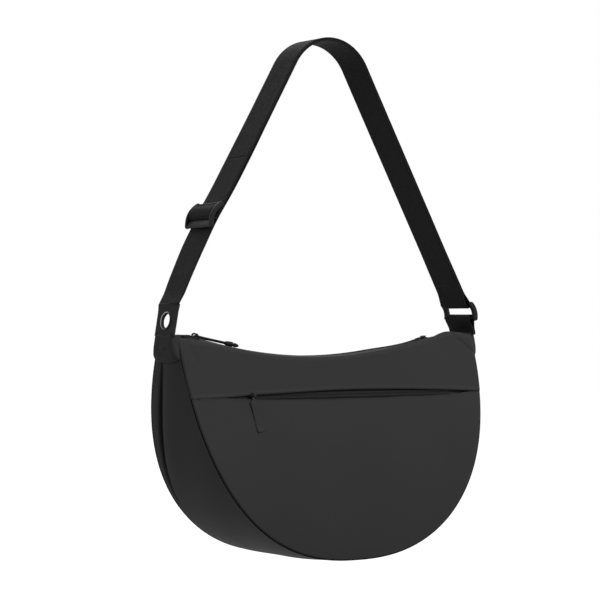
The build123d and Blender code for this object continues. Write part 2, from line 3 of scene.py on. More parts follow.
import bpy
import numpy as np
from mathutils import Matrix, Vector


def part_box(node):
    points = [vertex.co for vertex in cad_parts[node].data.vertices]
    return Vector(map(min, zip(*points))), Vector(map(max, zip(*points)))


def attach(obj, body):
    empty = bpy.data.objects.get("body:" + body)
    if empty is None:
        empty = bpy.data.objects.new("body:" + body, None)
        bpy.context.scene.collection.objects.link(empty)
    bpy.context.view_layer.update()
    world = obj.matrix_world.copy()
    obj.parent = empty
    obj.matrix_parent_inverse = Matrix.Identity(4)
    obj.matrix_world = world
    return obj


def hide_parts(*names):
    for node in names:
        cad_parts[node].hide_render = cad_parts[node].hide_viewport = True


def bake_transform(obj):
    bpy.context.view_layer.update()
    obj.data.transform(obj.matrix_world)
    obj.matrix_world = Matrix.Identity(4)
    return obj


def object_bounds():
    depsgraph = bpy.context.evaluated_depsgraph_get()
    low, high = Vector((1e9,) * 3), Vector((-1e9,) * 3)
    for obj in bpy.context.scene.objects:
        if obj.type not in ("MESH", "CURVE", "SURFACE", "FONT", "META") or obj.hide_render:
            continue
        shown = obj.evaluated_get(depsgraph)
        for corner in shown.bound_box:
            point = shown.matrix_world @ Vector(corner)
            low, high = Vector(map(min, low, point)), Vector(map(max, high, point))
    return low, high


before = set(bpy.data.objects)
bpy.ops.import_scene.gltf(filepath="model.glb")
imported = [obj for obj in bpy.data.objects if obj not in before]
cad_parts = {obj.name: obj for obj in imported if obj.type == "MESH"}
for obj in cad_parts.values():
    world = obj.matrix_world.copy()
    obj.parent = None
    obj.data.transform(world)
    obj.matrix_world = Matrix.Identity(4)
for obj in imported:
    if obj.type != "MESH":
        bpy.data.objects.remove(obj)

cad_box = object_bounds()

# ---------------------------------------------------------------- studio
# The bag hangs by its strap over a pale floor, seen from its front left at the height of its mouth.
# A large soft lamp stands in front, weaker ones to the left and behind, and a pale room fills the rest.
TURN = math.radians(-35.98)
AWAY, SIDESTEP, EYE = 2.360, 0.01955, -0.2535
look = Vector((-math.sin(TURN), math.cos(TURN), 0))
right = Vector((look.y, -look.x, 0))


def shown(name, data):
    """New object in the scene's collection."""
    made = bpy.data.objects.new(name, data)
    bpy.context.scene.collection.objects.link(made)
    return made


camera = shown("camera", bpy.data.cameras.new("camera"))
camera.data.lens, camera.data.sensor_width = 149.4, 36
camera.data.clip_start, camera.data.clip_end = 0.1, 60
camera.location = -AWAY * look - SIDESTEP * right + Vector((0, 0, EYE))
camera.rotation_euler = (math.radians(90.223), 0, TURN)
bpy.context.scene.camera = camera
bpy.context.scene.view_settings.view_transform = "Standard"


BAG_MIDDLE = Vector((0, 0, -0.30))


def softbox(name, place, size, power):
    """Square area lamp at place, turned to face the bag's middle."""
    lamp = shown(name, bpy.data.lights.new(name, "AREA"))
    lamp.data.size, lamp.data.energy = size, power
    lamp.location = place
    lamp.rotation_euler = (BAG_MIDDLE - Vector(place)).to_track_quat("-Z", "Y").to_euler()


softbox("front_lamp", (0.9, -2.6, 1.3), 1.8, 55)
softbox("left_lamp", (-2.6, -0.5, 0.6), 1.4, 7)
softbox("back_lamp", (0.6, 2.4, 1.2), 1.6, 14)

world = bpy.data.worlds.new("room")
bpy.context.scene.world = world
world.use_nodes = True
room = world.node_tree
room.nodes.clear()


def seen_ray(tree):
    """1 for a ray that shows the background: straight from the camera, reflected, or through something."""
    ray = tree.nodes.new("ShaderNodeLightPath")
    last = ray.outputs["Is Camera Ray"]
    for kind in ("Is Glossy Ray", "Is Transmission Ray"):
        most = tree.nodes.new("ShaderNodeMath")
        most.operation = "MAXIMUM"
        tree.links.new(last, most.inputs[0])
        tree.links.new(ray.outputs[kind], most.inputs[1])
        last = most.outputs[0]
    return last


def either(tree, kind, unseen, seen):
    """Mix of two white shaders: strength unseen for the rays that only light, seen for the others."""
    mix = tree.nodes.new("ShaderNodeMixShader")
    tree.links.new(seen_ray(tree), mix.inputs[0])
    for i, strength in ((1, unseen), (2, seen)):
        shade = tree.nodes.new(kind)
        shade.inputs["Color"].default_value = (1, 1, 1, 1)
        shade.inputs["Strength"].default_value = strength
        tree.links.new(shade.outputs[0], mix.inputs[i])
    return mix.outputs[0]


room_light = either(room, "ShaderNodeBackground", 0.26, 1.0)
room.links.new(room_light, room.nodes.new("ShaderNodeOutputWorld").inputs[0])

# the floor: white vinyl that glows just enough to match the room and still takes the bag's shadow
floor_mesh = bpy.data.meshes.new("studio_floor")
low = cad_box[0].z - 0.045
floor_mesh.from_pydata([(-9, -5, low), (9, -5, low), (9, 13, low), (-9, 13, low)], [], [(0, 1, 2, 3)])
floor = shown("studio_floor", floor_mesh)
vinyl = bpy.data.materials.new("floor_vinyl")
vinyl.use_nodes = True
tree = vinyl.node_tree
tree.nodes.clear()
matt, both = tree.nodes.new("ShaderNodeBsdfDiffuse"), tree.nodes.new("ShaderNodeAddShader")
matt.inputs["Color"].default_value = (0.30, 0.30, 0.30, 1)
tree.links.new(matt.outputs[0], both.inputs[0])
tree.links.new(either(tree, "ShaderNodeEmission", 0.0, 0.94), both.inputs[1])
tree.links.new(both.outputs[0], tree.nodes.new("ShaderNodeOutputMaterial").inputs[0])
floor_mesh.materials.append(vinyl)


# ---------------------------------------------------------------- shell cloth
# Charcoal nylon with a matt polyurethane face: a fine plain weave that shows through as a soft grain,
# paler and smoother where an edge is folded and rubbed.
class Value:
    """A shader socket that reckons: +, - and * between values and numbers add Math nodes."""

    def __init__(self, tree, socket):
        self.tree, self.socket = tree, socket

    def node(self, kind, settings={}, sockets={}, out=0):
        """Any node: its type, its settings, and the values or links of its sockets."""
        made = self.tree.nodes.new(kind)
        for key, value in settings.items():
            setattr(made, key, value)
        for key, value in sockets.items():
            if isinstance(value, Value):
                self.tree.links.new(value.socket, made.inputs[key])
            else:
                made.inputs[key].default_value = value
        return Value(self.tree, made.outputs[out])

    def calc(self, operation, *terms):
        return self.node("ShaderNodeMath", {"operation": operation}, dict(enumerate(terms)))

    def __add__(self, other): return self.calc("ADD", self, other)
    def __radd__(self, other): return self.calc("ADD", other, self)
    def __sub__(self, other): return self.calc("SUBTRACT", self, other)
    def __mul__(self, other): return self.calc("MULTIPLY", self, other)

    def pingpong(self, turn):
        """The value folded back and forth between 0 and turn."""
        return self.calc("PINGPONG", self, turn)

    def wave(self):
        """Sine of the value, moved to 0..1."""
        return self.calc("SINE", self) * 0.5 + 0.5

    def blend(self, dark, pale):
        """Mixes two grey or coloured shades by the value."""
        return self.node("ShaderNodeMix", {"data_type": "RGBA", "clamp_factor": True},
                         {0: self, 6: (*dark, 1), 7: (*pale, 1)}, out=2)

    def noise(self, scale, detail=2.0, rough=0.5):
        return self.node("ShaderNodeTexNoise", {}, {"Vector": self, "Scale": scale, "Detail": detail,
                                                    "Roughness": rough})

    def wear_and_highlight(self):
        """The surface's own attribute, 0 to 1: rubbed wear on the cloth, a painted highlight on the eyelet's metal.
        """
        return self.node("ShaderNodeAttribute", {"attribute_name": "wear_and_highlight"}, out="Fac")

    def cloth_uv(self):
        """Across and along a woven piece, in millimetres."""
        return self.node("ShaderNodeUVMap", {"uv_map": "cloth"}).split()[:2]

    def split(self):
        parts = self.node("ShaderNodeSeparateXYZ", {}, {0: self})
        return [Value(self.tree, parts.socket.node.outputs[i]) for i in range(3)]

    def bump(self, height, strength, distance):
        return self.node("ShaderNodeBump", {}, {"Height": height, "Strength": strength, "Distance": distance})


def ease(k):
    """Smooth step from 0 to 1."""
    k = np.clip(k, 0, 1)
    return k * k * (3 - 2 * k)


def turned(u, v, angle):
    """Two coordinates turned by an angle, from u towards v."""
    return u * np.cos(angle) - v * np.sin(angle), u * np.sin(angle) + v * np.cos(angle)


def xyz(*coords):
    """Points from coordinates that fill up to one shape."""
    return np.stack(np.broadcast_arrays(*coords), -1)


def run_of(*coords):
    """Length along a line from its first point to each one, from its coordinates."""
    return np.concatenate([[0], np.cumsum(np.sqrt(sum(np.diff(c) ** 2 for c in coords)))])


def at_runs(at, run, line):
    """Points of a line at given lengths along it."""
    return xyz(*(np.interp(at, run, c) for c in line.T))


def cut_area(p):
    """Area in square metres of a grid of points, half the cross product of each cell's diagonals: the drawn
    surface's own area, not a pattern's."""
    return float(np.linalg.norm(np.cross(p[1:, 1:] - p[:-1, :-1], p[1:, :-1] - p[:-1, 1:]), axis=-1).sum()) / 2e6


def finish_of(name, recipe, **fixed):
    """Material from a recipe that takes object coordinates and returns colour, roughness and normal."""
    made = bpy.data.materials.new(name)
    made.use_nodes = True
    tree = made.node_tree
    tree.nodes.clear()
    start = Value(tree, tree.nodes.new("ShaderNodeTexCoord").outputs["Object"])
    colour, rough, normal = recipe(start)
    sockets = {"Base Color": colour, "Roughness": rough, "Normal": normal}
    sockets.update({key.replace("_", " "): value for key, value in fixed.items()})
    shader = start.node("ShaderNodeBsdfPrincipled", {}, sockets)
    tree.links.new(shader.socket, tree.nodes.new("ShaderNodeOutputMaterial").inputs[0])
    return made


def shell_recipe(at):
    """Two crossed waves 0.45 mm apart for the weave, a fine noise for the coating and a broad one for handling."""
    x, y, z = at.split()
    weave = (x * 7000.0 + y * 7000.0).wave() * (z * 7000.0).wave()
    grain = at.noise(2600.0, 3.0, 0.6)
    broad = at.noise(9.0, 3.0)
    wear_and_highlight = at.wear_and_highlight()
    shade = broad * 0.55 + grain * 0.35 + wear_and_highlight * 0.8
    colour = shade.blend((0.0318, 0.0318, 0.0322), (0.0475, 0.0475, 0.0480))
    rough = 0.60 + grain * 0.12 - wear_and_highlight * 0.10
    return colour, rough, at.bump(weave * 0.35 + grain * 0.65, 0.25, 0.00010)


shell_cloth = finish_of("shell_cloth", shell_recipe, IOR=1.45, Specular_IOR_Level=0.08)


def surface(name, points, material, ring=(False, False), wear_and_highlight=None, uv=None, wall=0.0):
    """Quad mesh over an array of points (rows, columns, 3) in millimetres from the corners' line.
    ring says which directions close on themselves; wall adds a thickness behind the face."""
    patches = points if isinstance(points, list) else [points]
    verts, faces, start = [], [], 0
    for p in patches:
        rows, cols = p.shape[:2]
        index = start + np.arange(rows * cols).reshape(rows, cols)
        if ring[0]:
            index = np.vstack([index, index[:1]])
        if ring[1]:
            index = np.hstack([index, index[:, :1]])
        quads = np.stack([index[:-1, :-1], index[:-1, 1:], index[1:, 1:], index[1:, :-1]], -1).reshape(-1, 4)
        verts.append(p.reshape(-1, 3))
        faces.append(quads)
        start += rows * cols
    verts, faces = np.concatenate(verts), np.concatenate(faces)
    mesh = bpy.data.meshes.new(name)
    mesh.from_pydata((verts * 0.001 + (0, 0, corner_z)).tolist(), [], faces.tolist())
    if uv is not None:
        flat = np.reshape(uv, (-1, 2))
        loops = np.zeros(len(mesh.loops), int)
        mesh.loops.foreach_get("vertex_index", loops)
        mesh.uv_layers.new(name="cloth").data.foreach_set("uv", flat[loops].ravel())
    if wear_and_highlight is not None:
        mesh.attributes.new("wear_and_highlight", "FLOAT", "POINT").data.foreach_set("value", np.ravel(wear_and_highlight).astype(np.float32))
    mesh.polygons.foreach_set("use_smooth", [True] * len(mesh.polygons))
    mesh.materials.append(material)
    piece = shown(name, mesh)
    if wall:
        thick = piece.modifiers.new("wall", "SOLIDIFY")
        thick.thickness, thick.offset = wall * 0.001, -1
    return piece


def seat(piece, body, node):
    """Puts a piece in its CAD node's place, on its body."""
    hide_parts(node)
    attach(piece, body)


def cut_cloth(node, points, material, wall, wear_and_highlight=None, ring=(False, False)):
    """A sheet of the bag's body on the bag, in place of its CAD node; its drawn area is reckoned but not kept."""
    piece = surface(node + "_cloth", points, material, wear_and_highlight=wear_and_highlight, wall=wall, ring=ring)
    cut_area(points)
    seat(piece, "bag", node)


def panel(node, cut):
    """A sewn panel of shell cloth, from its points and how rubbed they are."""
    cut_cloth(node, cut[0], shell_cloth, CLOTH, wear_and_highlight=cut[1])


# ---------------------------------------------------------------- body: panels and gusset
# The front and back are half-moons of shell cloth, each drawn as one thin wall with a low crown and sewn to
# one long gusset, so both edges roll down into the seam. The front is cut in two at the pocket's zip.
gusset_low, gusset_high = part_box("gusset")
corner_z = gusset_high.z
HALF_W, DROP, POWER = gusset_high.x * 1000 - 0.5, (corner_z - gusset_low.z) * 1000 - 0.4, 2.38
TOP_DEPTH, BOTTOM_DEPTH = 33.4, 118.0
PINCH, PINCH_FADE, TOP_FOLD = 2.4, 14, 1.6
SEAM_ROLL, GUSSET_ROLL = 1.5, 1.4
CLOTH, FACING = 0.8, 7.0


def half_depth(z):
    """Half the bag's depth: a quarter sine from the corners down, pinched a little at the strap's roots."""
    deep = np.clip(-z / (DROP + 3.0), 0, 1)
    pinch = PINCH * np.exp(np.clip(z, -90, 0) / PINCH_FADE)
    return TOP_DEPTH / 2 + (BOTTOM_DEPTH - TOP_DEPTH) / 2 * np.sin(np.pi / 2 * deep) - pinch


def outline(t):
    """Seam line: a half superellipse, t from 0 at the right corner to pi at the left; x, z, outward normal."""
    c, s = np.cos(t), np.sin(t)
    x = HALF_W * np.sign(c) * np.abs(c) ** (2 / POWER)
    z = -DROP * np.abs(s) ** (2 / POWER)
    nx = np.sign(x) * np.abs(x / HALF_W) ** (POWER - 1) / HALF_W
    nz = -np.abs(z / DROP) ** (POWER - 1) / DROP
    n = np.hypot(nx, nz)
    return x, z, nx / n, nz / n


def even(count, level):
    """Parameters at equal steps of length along the seam line, between its two points level below the corners."""
    t0 = math.asin((level / DROP) ** (POWER / 2))
    t = np.linspace(t0, math.pi - t0, 4001)
    x, z, _, _ = outline(t)
    run = run_of(x, z)
    return np.interp(np.linspace(0, run[-1], count), run, t)


def half_width(z):
    """Seam line's x at a height below the corners."""
    return HALF_W * (1 - np.clip(-z / DROP, 0, 1) ** POWER) ** (1 / POWER)


def rolled(e, r=SEAM_ROLL):
    """Drop of a quarter round, e in from its edge, and a last sharp dive into the seam."""
    k = np.clip(1 - e / r, 0, 1)
    return r * (1 - np.sqrt(1 - k * k)) + 1.3 * np.clip(1 - e / 0.22, 0, 1)


def along_line(x, z, x0, z0, x1, z1, width):
    """Bell across a line between two points, fading over its ends."""
    dx, dz = x1 - x0, z1 - z0
    length = math.hypot(dx, dz)
    s = ((x - x0) * dx + (z - z0) * dz) / length
    d = ((x - x0) * dz - (z - z0) * dx) / length
    return np.exp(-(d / width) ** 2) * ease(np.clip((s + 4) / 8, 0, 1) * np.clip((length + 6 - s) / 12, 0, 1))


def swell(x, z):
    """How far a panel swells out of its flat cut: a low crown with broad, shallow unevenness."""
    inside = np.clip(1 - (np.abs(x) / HALF_W) ** POWER - (np.clip(-z, 0, None) / DROP) ** POWER, 0, 1)
    crown = 2.2 * inside ** 0.6
    broad = 0.5 * np.sin(x / 37 + 0.8) * np.cos(z / 29 - 0.4) + 0.3 * np.sin((x + 2 * z) / 31 + 2.0)
    return crown + broad * inside ** 0.4


def front_folds(x, z):
    """Soft folds of the front: a fold from the strap's root at the right, a dent at the left corner."""
    fold = along_line(x, z, 143, 4, 170, -18, 1.7)
    lift = along_line(x, z, 150, 5, 173, -14, 4.5)
    dent = along_line(x, z, -164, -2, -157, -24, 3.2)
    drag = along_line(x, z, -150, -10, -128, -40, 7.0)
    return 0.7 * lift - 1.1 * fold - 0.8 * dent + 0.35 * drag


def through(x, at, up):
    """Smooth curve through marks: cubic steps whose slopes are the marks' own differences."""
    at, up = np.array(at), np.array(up)
    slope = np.gradient(up, at)
    i = np.clip(np.searchsorted(at, x) - 1, 0, len(at) - 2)
    h = at[i + 1] - at[i]
    k = np.clip((x - at[i]) / h, 0, 1)
    a, b, c, d = up[i], up[i + 1], slope[i] * h, slope[i + 1] * h
    return (2 * k**3 - 3 * k**2 + 1) * a + (k**3 - 2 * k**2 + k) * c + (3 * k**2 - 2 * k**3) * b + (k**3 - k**2) * d


def mouth_line(x):
    """Top edge of the panels, a long dip with its lowest point left of the middle."""
    return through(x, [-172, -166, -153, -115, -100, -70, -27, 0, 23, 55, 87, 120, 142, 158, 172],
                   [-1.0, -2.2, -4.6, -11.3, -14.3, -18.6, -20.9, -20.4, -18.8, -15.0, -9.9, -3.9, 1.9, 1.2, -0.9])


def back_mouth_line(x):
    """Top edge of the back panel: the front's dip, a little deeper and even on both sides."""
    return through(x, [-172, -160, -140, -115, -70, -30, 0, 30, 55, 87, 120, 148, 160, 172],
                   [-0.9, -2.2, -6.0, -11.5, -19.0, -21.9, -22.3, -21.6, -20.6, -17.6, -12.4, -6.2, -3.2, -1.0])


MOUTH_X, MOUTH_Z, MOUTH_R = -12.0, 484.5, 505.0


def zip_line(x):
    """Top of the main zip: the mouth's arc between its ends, flat past them, slack towards the right."""
    arc = MOUTH_Z - np.sqrt(np.clip(MOUTH_R**2 - (x - MOUTH_X) ** 2, 0, None))
    return np.minimum(arc, 0.0) - 2.9 * ease((x - 55) / 60) - 2.6 * np.clip((x - 124) / 16, 0, 1) ** 2


def crowded(count, gather=2.6):
    """Steps from -1 to 1 that crowd towards both ends."""
    k = np.linspace(-1, 1, count)
    return np.tanh(gather * k) / np.tanh(gather)


def yoke_low(x):
    """Yoke's lower edge, arched in the middle."""
    return through(x, [-172, -148, -131, -103, -75, -47, 0, 47, 90, 120, 150, 172],
                   [-55.9, -55.2, -54.7, -52.9, -52.0, -51.1, -49.9, -50.0, -50.9, -51.9, -53.3, -54.7])


def pocket_top(x):
    """Pocket panel's upper edge: straight in the middle, up to the yoke at both ends, a little uneven."""
    edge = through(x, [-172, -148, -131, -118, -103, -78, -47, 0, 47, 78, 120, 139, 149, 172],
                   [-56.6, -56.2, -56.2, -57.0, -57.9, -58.4, -58.9, -59.1, -59.0, -58.5, -58.0, -57.3, -56.0, -55.7])
    return edge + 0.15 * np.sin(x / 9.0) * np.clip((140 - np.abs(x)) / 30, 0, 1)


def seam_distance(x, z):
    """How far a point is in from the seam line: 1 minus the superellipse's radius, over its slope."""
    ax, az = np.abs(x) / HALF_W, np.clip(-z, 0, None) / DROP
    f = np.maximum((ax ** POWER + az ** POWER) ** (1 / POWER), 1e-6)
    slope = f ** (1 - POWER) * np.hypot(ax ** (POWER - 1) / HALF_W, az ** (POWER - 1) / DROP)
    return np.clip((1 - f) / np.maximum(slope, 1e-6), 0, 60)


def upper_panel(sign, low, whole):
    """Cross-section carried along x: face up to the mouth, round fold, facing in to the zip, turned edge.
    The front starts with a hem at its lower edge; the whole back starts with rules down to the seam."""
    u = crowded(301)[None, :]
    steps = np.linspace(0, 1, 40)[:, None]
    x = u * half_width(low(168.0) * (1 - steps))
    edge = back_mouth_line if whole else mouth_line
    base, top = low(x) + 0.9 * (not whole), edge(np.clip(x, -172, 172)) - TOP_FOLD
    z = base + steps * (top - base)
    if whole:
        t = even(900, -float(low(0.0)))
        bx, bz, _, _ = outline(np.interp((1 - u[0]) / 2, np.linspace(0, 1, 900), t))
        fall = 1 - np.linspace(0, 1, 110)[:-1, None] ** 1.6
        x, z = (np.concatenate([k[:1] + fall * (b - k[:1]), k]) for k, b in ((x, bx), (z, bz)))
        depth = np.zeros_like(z)
    else:
        hem = np.array([[2.2, 5.0], [2.2, 2.0], [2.15, 0.6], [1.8, -0.2], [1.1, -0.6], [0.4, -0.35], [0.08, 0.25]])
        x = np.concatenate([x[:1] + 0 * hem[:, :1], x])
        depth = np.concatenate([hem[:, :1] + 0 * u, 0 * z])
        z = np.concatenate([base[:1] - 0.9 + hem[:, 1:], z])
    e = seam_distance(x, z)
    if not whole:
        e = (1 - np.abs(u)) * HALF_W + 0 * e
    y = half_depth(z) + swell(x, z) - depth - rolled(e)
    if sign < 0:
        y = y + front_folds(x, z) * (depth == 0)
    e_top, x_top = e[-1:], x[-1:]
    turn = np.linspace(0, np.pi / 2, 7)[1:, None]
    y_turn = y[-1:] - TOP_FOLD * (1 - np.cos(turn))
    z_turn = z[-1:] + (TOP_FOLD - rolled(e_top)) * np.sin(turn)
    run = np.linspace(0, 1, 12)[1:, None]
    y_run = y_turn[-1:] + run * (FACING - y_turn[-1:])
    z_zip = zip_line(x_top) + 0.5 - rolled(e_top)
    z_run = z_turn[-1:] + ease(run) * (z_zip - z_turn[-1:]) - 0.9 * np.sin(np.pi * run)
    under = np.array([[-0.3, -0.12], [-0.42, -0.42], [-0.25, -0.72], [0.5, -0.85], [4.0, -0.9]])
    y = np.concatenate([y, y_turn, y_run, y_run[-1:] + under[:, :1]])
    z = np.concatenate([z, z_turn, z_run, z_run[-1:] + under[:, 1:]])
    rows = len(x)
    x = np.concatenate([x, x_top + np.zeros((len(y) - rows, 1))])
    rub_and_highlight = np.zeros_like(x)
    rub_and_highlight[:rows] = 0.3 * np.exp(-e / 1.8)
    rub_and_highlight[rows - 2:rows + 5] = 0.5
    if not whole:
        rub_and_highlight[4:9] = 0.4
    p = xyz(x, sign * y, z)
    return (p, rub_and_highlight) if sign > 0 else (p[:, ::-1], rub_and_highlight[:, ::-1])


panel("front_yoke", upper_panel(-1, yoke_low, False))
panel("back_panel", upper_panel(1, lambda x: -58.0 + 0 * x, True))


def lower_panel(level=56.2, inset=6.0):
    """Lens under the pocket's zip: turned hem, straight rules from it to the seam line, then rows that
    close in on the seam and roll down into it."""
    bx, bz, nx, nz = outline(even(260, level))
    ix, iz = bx - nx * inset, bz - nz * inset
    tx = (half_width(-level) - inset) * np.linspace(1, -1, len(bx))
    tz = pocket_top(tx)
    v = np.linspace(0, 1, 90)[:, None]
    x, z = tx + v * (ix - tx), tz + v * (iz - tz)
    close = np.array([4.6, 3.4, 2.5, 1.9, 1.4, 1.0, 0.65, 0.38, 0.16, 0.04, 0.0])[:, None]
    hem = np.array([[2.2, -6.0], [2.2, -2.0], [2.1, -0.8], [1.7, -0.1], [1.1, 0.15], [0.5, -0.1], [0.12, -0.5]])
    x = np.concatenate([tx + 0 * hem[:, :1], x, bx - nx * close])
    z = np.concatenate([tz + hem[:, 1:], z, bz - nz * close])
    depth = np.zeros_like(x)
    depth[:len(hem)] = hem[:, :1]
    e = np.full_like(x, inset)
    e[-len(close):] = close
    y = half_depth(z) + swell(x, z) - depth - rolled(e)
    rub_and_highlight = 0.35 * np.exp(-e / 1.6)
    rub_and_highlight[3:8] = 0.4
    return xyz(x, -y, z), rub_and_highlight


panel("pocket_panel", lower_panel())


def bulge(z, v):
    """Gusset's roundness out of the seam line: fuller at the bottom, nothing at the seams."""
    full = 0.9 + 0.8 * np.clip(-z / DROP, 0, 1) ** 3
    return full * (1 - np.abs(v) ** 2.6)


PLEAT_Z = np.array([-160, -140, -118, -96, -75, -55, -40, -27, -21.0])
PLEAT_Y = np.array([48, 44.5, 39, 32.5, 26, 20, 15.5, 11.5, 9.5])
PLEAT_DEEP = np.array([0, 0.15, 0.5, 0.85, 1.0, 1.0, 0.85, 0.5, 0.0])
PLEAT_WIDE = np.array([1.0, 1.2, 1.9, 2.7, 3.0, 2.6, 1.5, 0.7, 0.5])


def pleat(y, z):
    """Upright fold in a gusset's end: a gentle slope in from the front, a narrow slit, a sharp wall behind."""
    d = y - np.interp(z, PLEAT_Z, PLEAT_Y)
    slope = 2.8 * np.exp(-np.abs(np.minimum(d, 0) / 8.0) ** 1.4)
    wide = np.interp(z, PLEAT_Z, PLEAT_WIDE)
    slit = 6.5 * np.exp(-((d + 0.5 * wide) / wide) ** 2)
    wall = 1 / (1 + np.exp(np.clip((d - 0.8) / 0.15, -60, 60)))
    return np.interp(z, PLEAT_Z, PLEAT_DEEP) * (slope + slit) * wall


def pleat_lip(y, z):
    """How far the fold's back edge leans forward over the slit."""
    d = y - np.interp(z, PLEAT_Z, PLEAT_Y)
    return 1.6 * np.interp(z, PLEAT_Z, PLEAT_DEEP) * np.exp(-((d - 1.4) / 0.9) ** 2)


def gusset_points():
    """Band over the seam line and across the depth; its edges roll in and its ends turn in at the mouth."""
    t = even(420, 2.0)[:, None]
    v = np.sort(np.concatenate([crowded(101, 1.8), np.linspace(0.25, 0.85, 60)]))[None, :]
    bx, bz, nx, nz = outline(t)
    half = half_depth(bz) - GUSSET_ROLL
    y = v * half
    e = (1 - np.abs(v)) * half
    ends = np.abs(bx) > 100
    creased = pleat(y, bz) * ends
    soft = 0.35 * np.sin(t * 9 + y / 14) * (1 - v * v)
    out = bulge(bz, v) - rolled(e, GUSSET_ROLL) - creased + soft
    x, z = bx + nx * out, bz + nz * out
    turn = np.linspace(0, np.pi / 2, 6)[1:, None]
    goes = np.concatenate([2 * (1 - np.cos(turn)), 2 + np.array([[2.0], [5.0], [8.0]])])
    climbs = np.concatenate([2 * np.sin(turn), [[1.9], [1.6], [1.2]]]) + 0 * v
    first, last = (xyz(x[k] - np.sign(bx[k]) * goes, y[k], z[k] + climbs) for k in (0, -1))
    p = np.concatenate([first[::-1], xyz(x, y - pleat_lip(y, bz) * ends, z), last])
    rub_and_highlight = np.concatenate([0.3 + 0 * climbs, 0.3 * np.exp(-e / 1.6) + 0 * x, 0.3 + 0 * climbs])
    return p, rub_and_highlight


panel("gusset", gusset_points())


# ---------------------------------------------------------------- mouth: end facings and the main zip
# A coil zip of nylon tape, its coils on the inside, sewn under the panels' facings. It follows the
# mouth's long dip. Past its ends a folded square of shell cloth closes each corner.
def end_facing(x0, x1):
    """Sheet over a corner between the panels: flat, a shallow dip in the middle, its inner end turned under."""
    k = np.linspace(0, 1, 40)[:, None]
    v = np.linspace(-1, 1, 31)[None, :]
    x = x0 + (x1 - x0) * k
    z = zip_line(x) - 0.15 - 0.7 * (1 - v * v) * np.sin(np.pi * k) - 2.2 * np.clip(1 - k / 0.08, 0, 1) ** 2
    return xyz(x, 11.5 * v, z)


corners = surface("mouth_end_facings", [end_facing(-144.8, -169.5)[:, ::-1], end_facing(120.8, 169.5)],
                  shell_cloth, wall=CLOTH)
seat(corners, "bag", "mouth_ends")


def tape_recipe(at):
    """Herringbone twill: slanted waves whose slant turns over every 1.6 mm across the tape."""
    x, y, z = at.split()
    slant = (y * 2000.0).pingpong(1.6)
    rib = (x * 9000.0 + slant * 3.0 + z * 1500.0).wave()
    fuzz = at.noise(3200.0, 2.0)
    colour = (rib * 0.5 + fuzz * 0.5).blend((0.0160, 0.0160, 0.0163), (0.0310, 0.0310, 0.0315))
    return colour, 0.72 + fuzz * 0.12, at.bump(rib * 0.6 + fuzz * 0.4, 0.35, 0.00012)


tape_cloth = finish_of("zip_tape_cloth", tape_recipe, IOR=1.45, Specular_IOR_Level=0.1)


def coil_recipe(at):
    """Moulded nylon: even black with a faint mottle."""
    mottle = at.noise(900.0, 2.0)
    colour = mottle.blend((0.012, 0.012, 0.012), (0.020, 0.020, 0.021))
    return colour, 0.34 + mottle * 0.12, at.bump(mottle, 0.1, 0.00005)


coil_nylon = finish_of("coil_nylon", coil_recipe, IOR=1.52, Specular_IOR_Level=0.25)


# across one tape from the slit: rounded over the hidden coil, a step down, then flat
TAPE_W = np.array([0.35, 0.36, 0.45, 0.7, 1.2, 1.8, 2.3, 2.7, 3.0, 3.3, 4.5, 6.5, 9.0, 11.0])
TAPE_H = np.array([-0.6, -0.2, 0.05, 0.18, 0.25, 0.24, 0.1, -0.25, -0.75, -1.0, -1.05, -1.05, -1.05, -1.05])
COIL_PITCH, COIL_WIDE, COIL_DEEP, COIL_WIRE, COIL_APART, COIL_BELOW = 1.3, 1.1, 1.0, 0.26, 1.25, 1.15


def helix(x0, x1):
    """Tube along a flattened helix: centre goes round an ellipse once a pitch, section goes round the tube."""
    turns = int((x1 - x0) / COIL_PITCH)
    a = np.linspace(0, 2 * np.pi * turns, turns * 8 + 1)[:, None]
    b = np.linspace(0, 2 * np.pi, 5)[None, :-1]
    x = x0 + COIL_PITCH * a / (2 * np.pi) + COIL_WIRE * np.sin(b)
    y = (COIL_WIDE / 2 + COIL_WIRE * np.cos(b)) * np.cos(a)
    z = (COIL_DEEP / 2 + COIL_WIRE * np.cos(b)) * np.sin(a)
    return x, y, z


def coil_zip(name, sides, tape_x, coil_ends, height, place=lambda p: p):
    """Two tapes and a coil's two halves beside a slit along x, the tapes' tops at a height for each x."""
    for sign, side in zip((-1, 1), sides):
        p = place(xyz(tape_x, sign * TAPE_W, height(tape_x) + TAPE_H))
        tape = surface(f"{name}_tape_{side}_cloth", p if sign > 0 else p[:, ::-1], tape_cloth, wall=0.45)
        seat(tape, "bag", f"{name}_tape_{side}")
    x, y, z = helix(*coil_ends)
    for sign, side in zip((-1, 1), sides):
        p = place(xyz(x + COIL_PITCH / 2 * (sign > 0), sign * COIL_APART + y, height(x) - COIL_BELOW + z))
        coil = surface(f"{name}_coil_{side}_wire", p, coil_nylon, ring=(False, True))
        seat(coil, "bag", f"{name}_coil_{side}")


coil_zip("main_zip", ("front", "back"), np.linspace(-150, 126, 240)[:, None], (-146.4, 122.4), zip_line)
for node in ("main_zip_stops", "pocket_zip_stops"):
    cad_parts[node].data.materials.clear()
    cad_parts[node].data.materials.append(coil_nylon)


# ---------------------------------------------------------------- pocket zip
# The same coil zip, straight, laid in the slot between yoke and pocket panel and 2.2 mm behind them.
POCKET_Z, POCKET_BACK = -55.0, 2.2
POCKET_LEAN = math.pi / 2 - math.atan2(half_depth(-60.0) - half_depth(-50.0), 10)


def on_pocket(p, x0=0.0):
    """Takes points made flat, zip along x and outside up z, to the sloping front of the pocket."""
    y, z = turned(p[..., 1], p[..., 2] - POCKET_BACK, POCKET_LEAN)
    return xyz(p[..., 0] + x0, y - half_depth(POCKET_Z), z + POCKET_Z)


coil_zip("pocket_zip", ("lower", "upper"), np.linspace(-130, 130, 120)[:, None], (-122, 122),
         lambda x: 1.0, on_pocket)


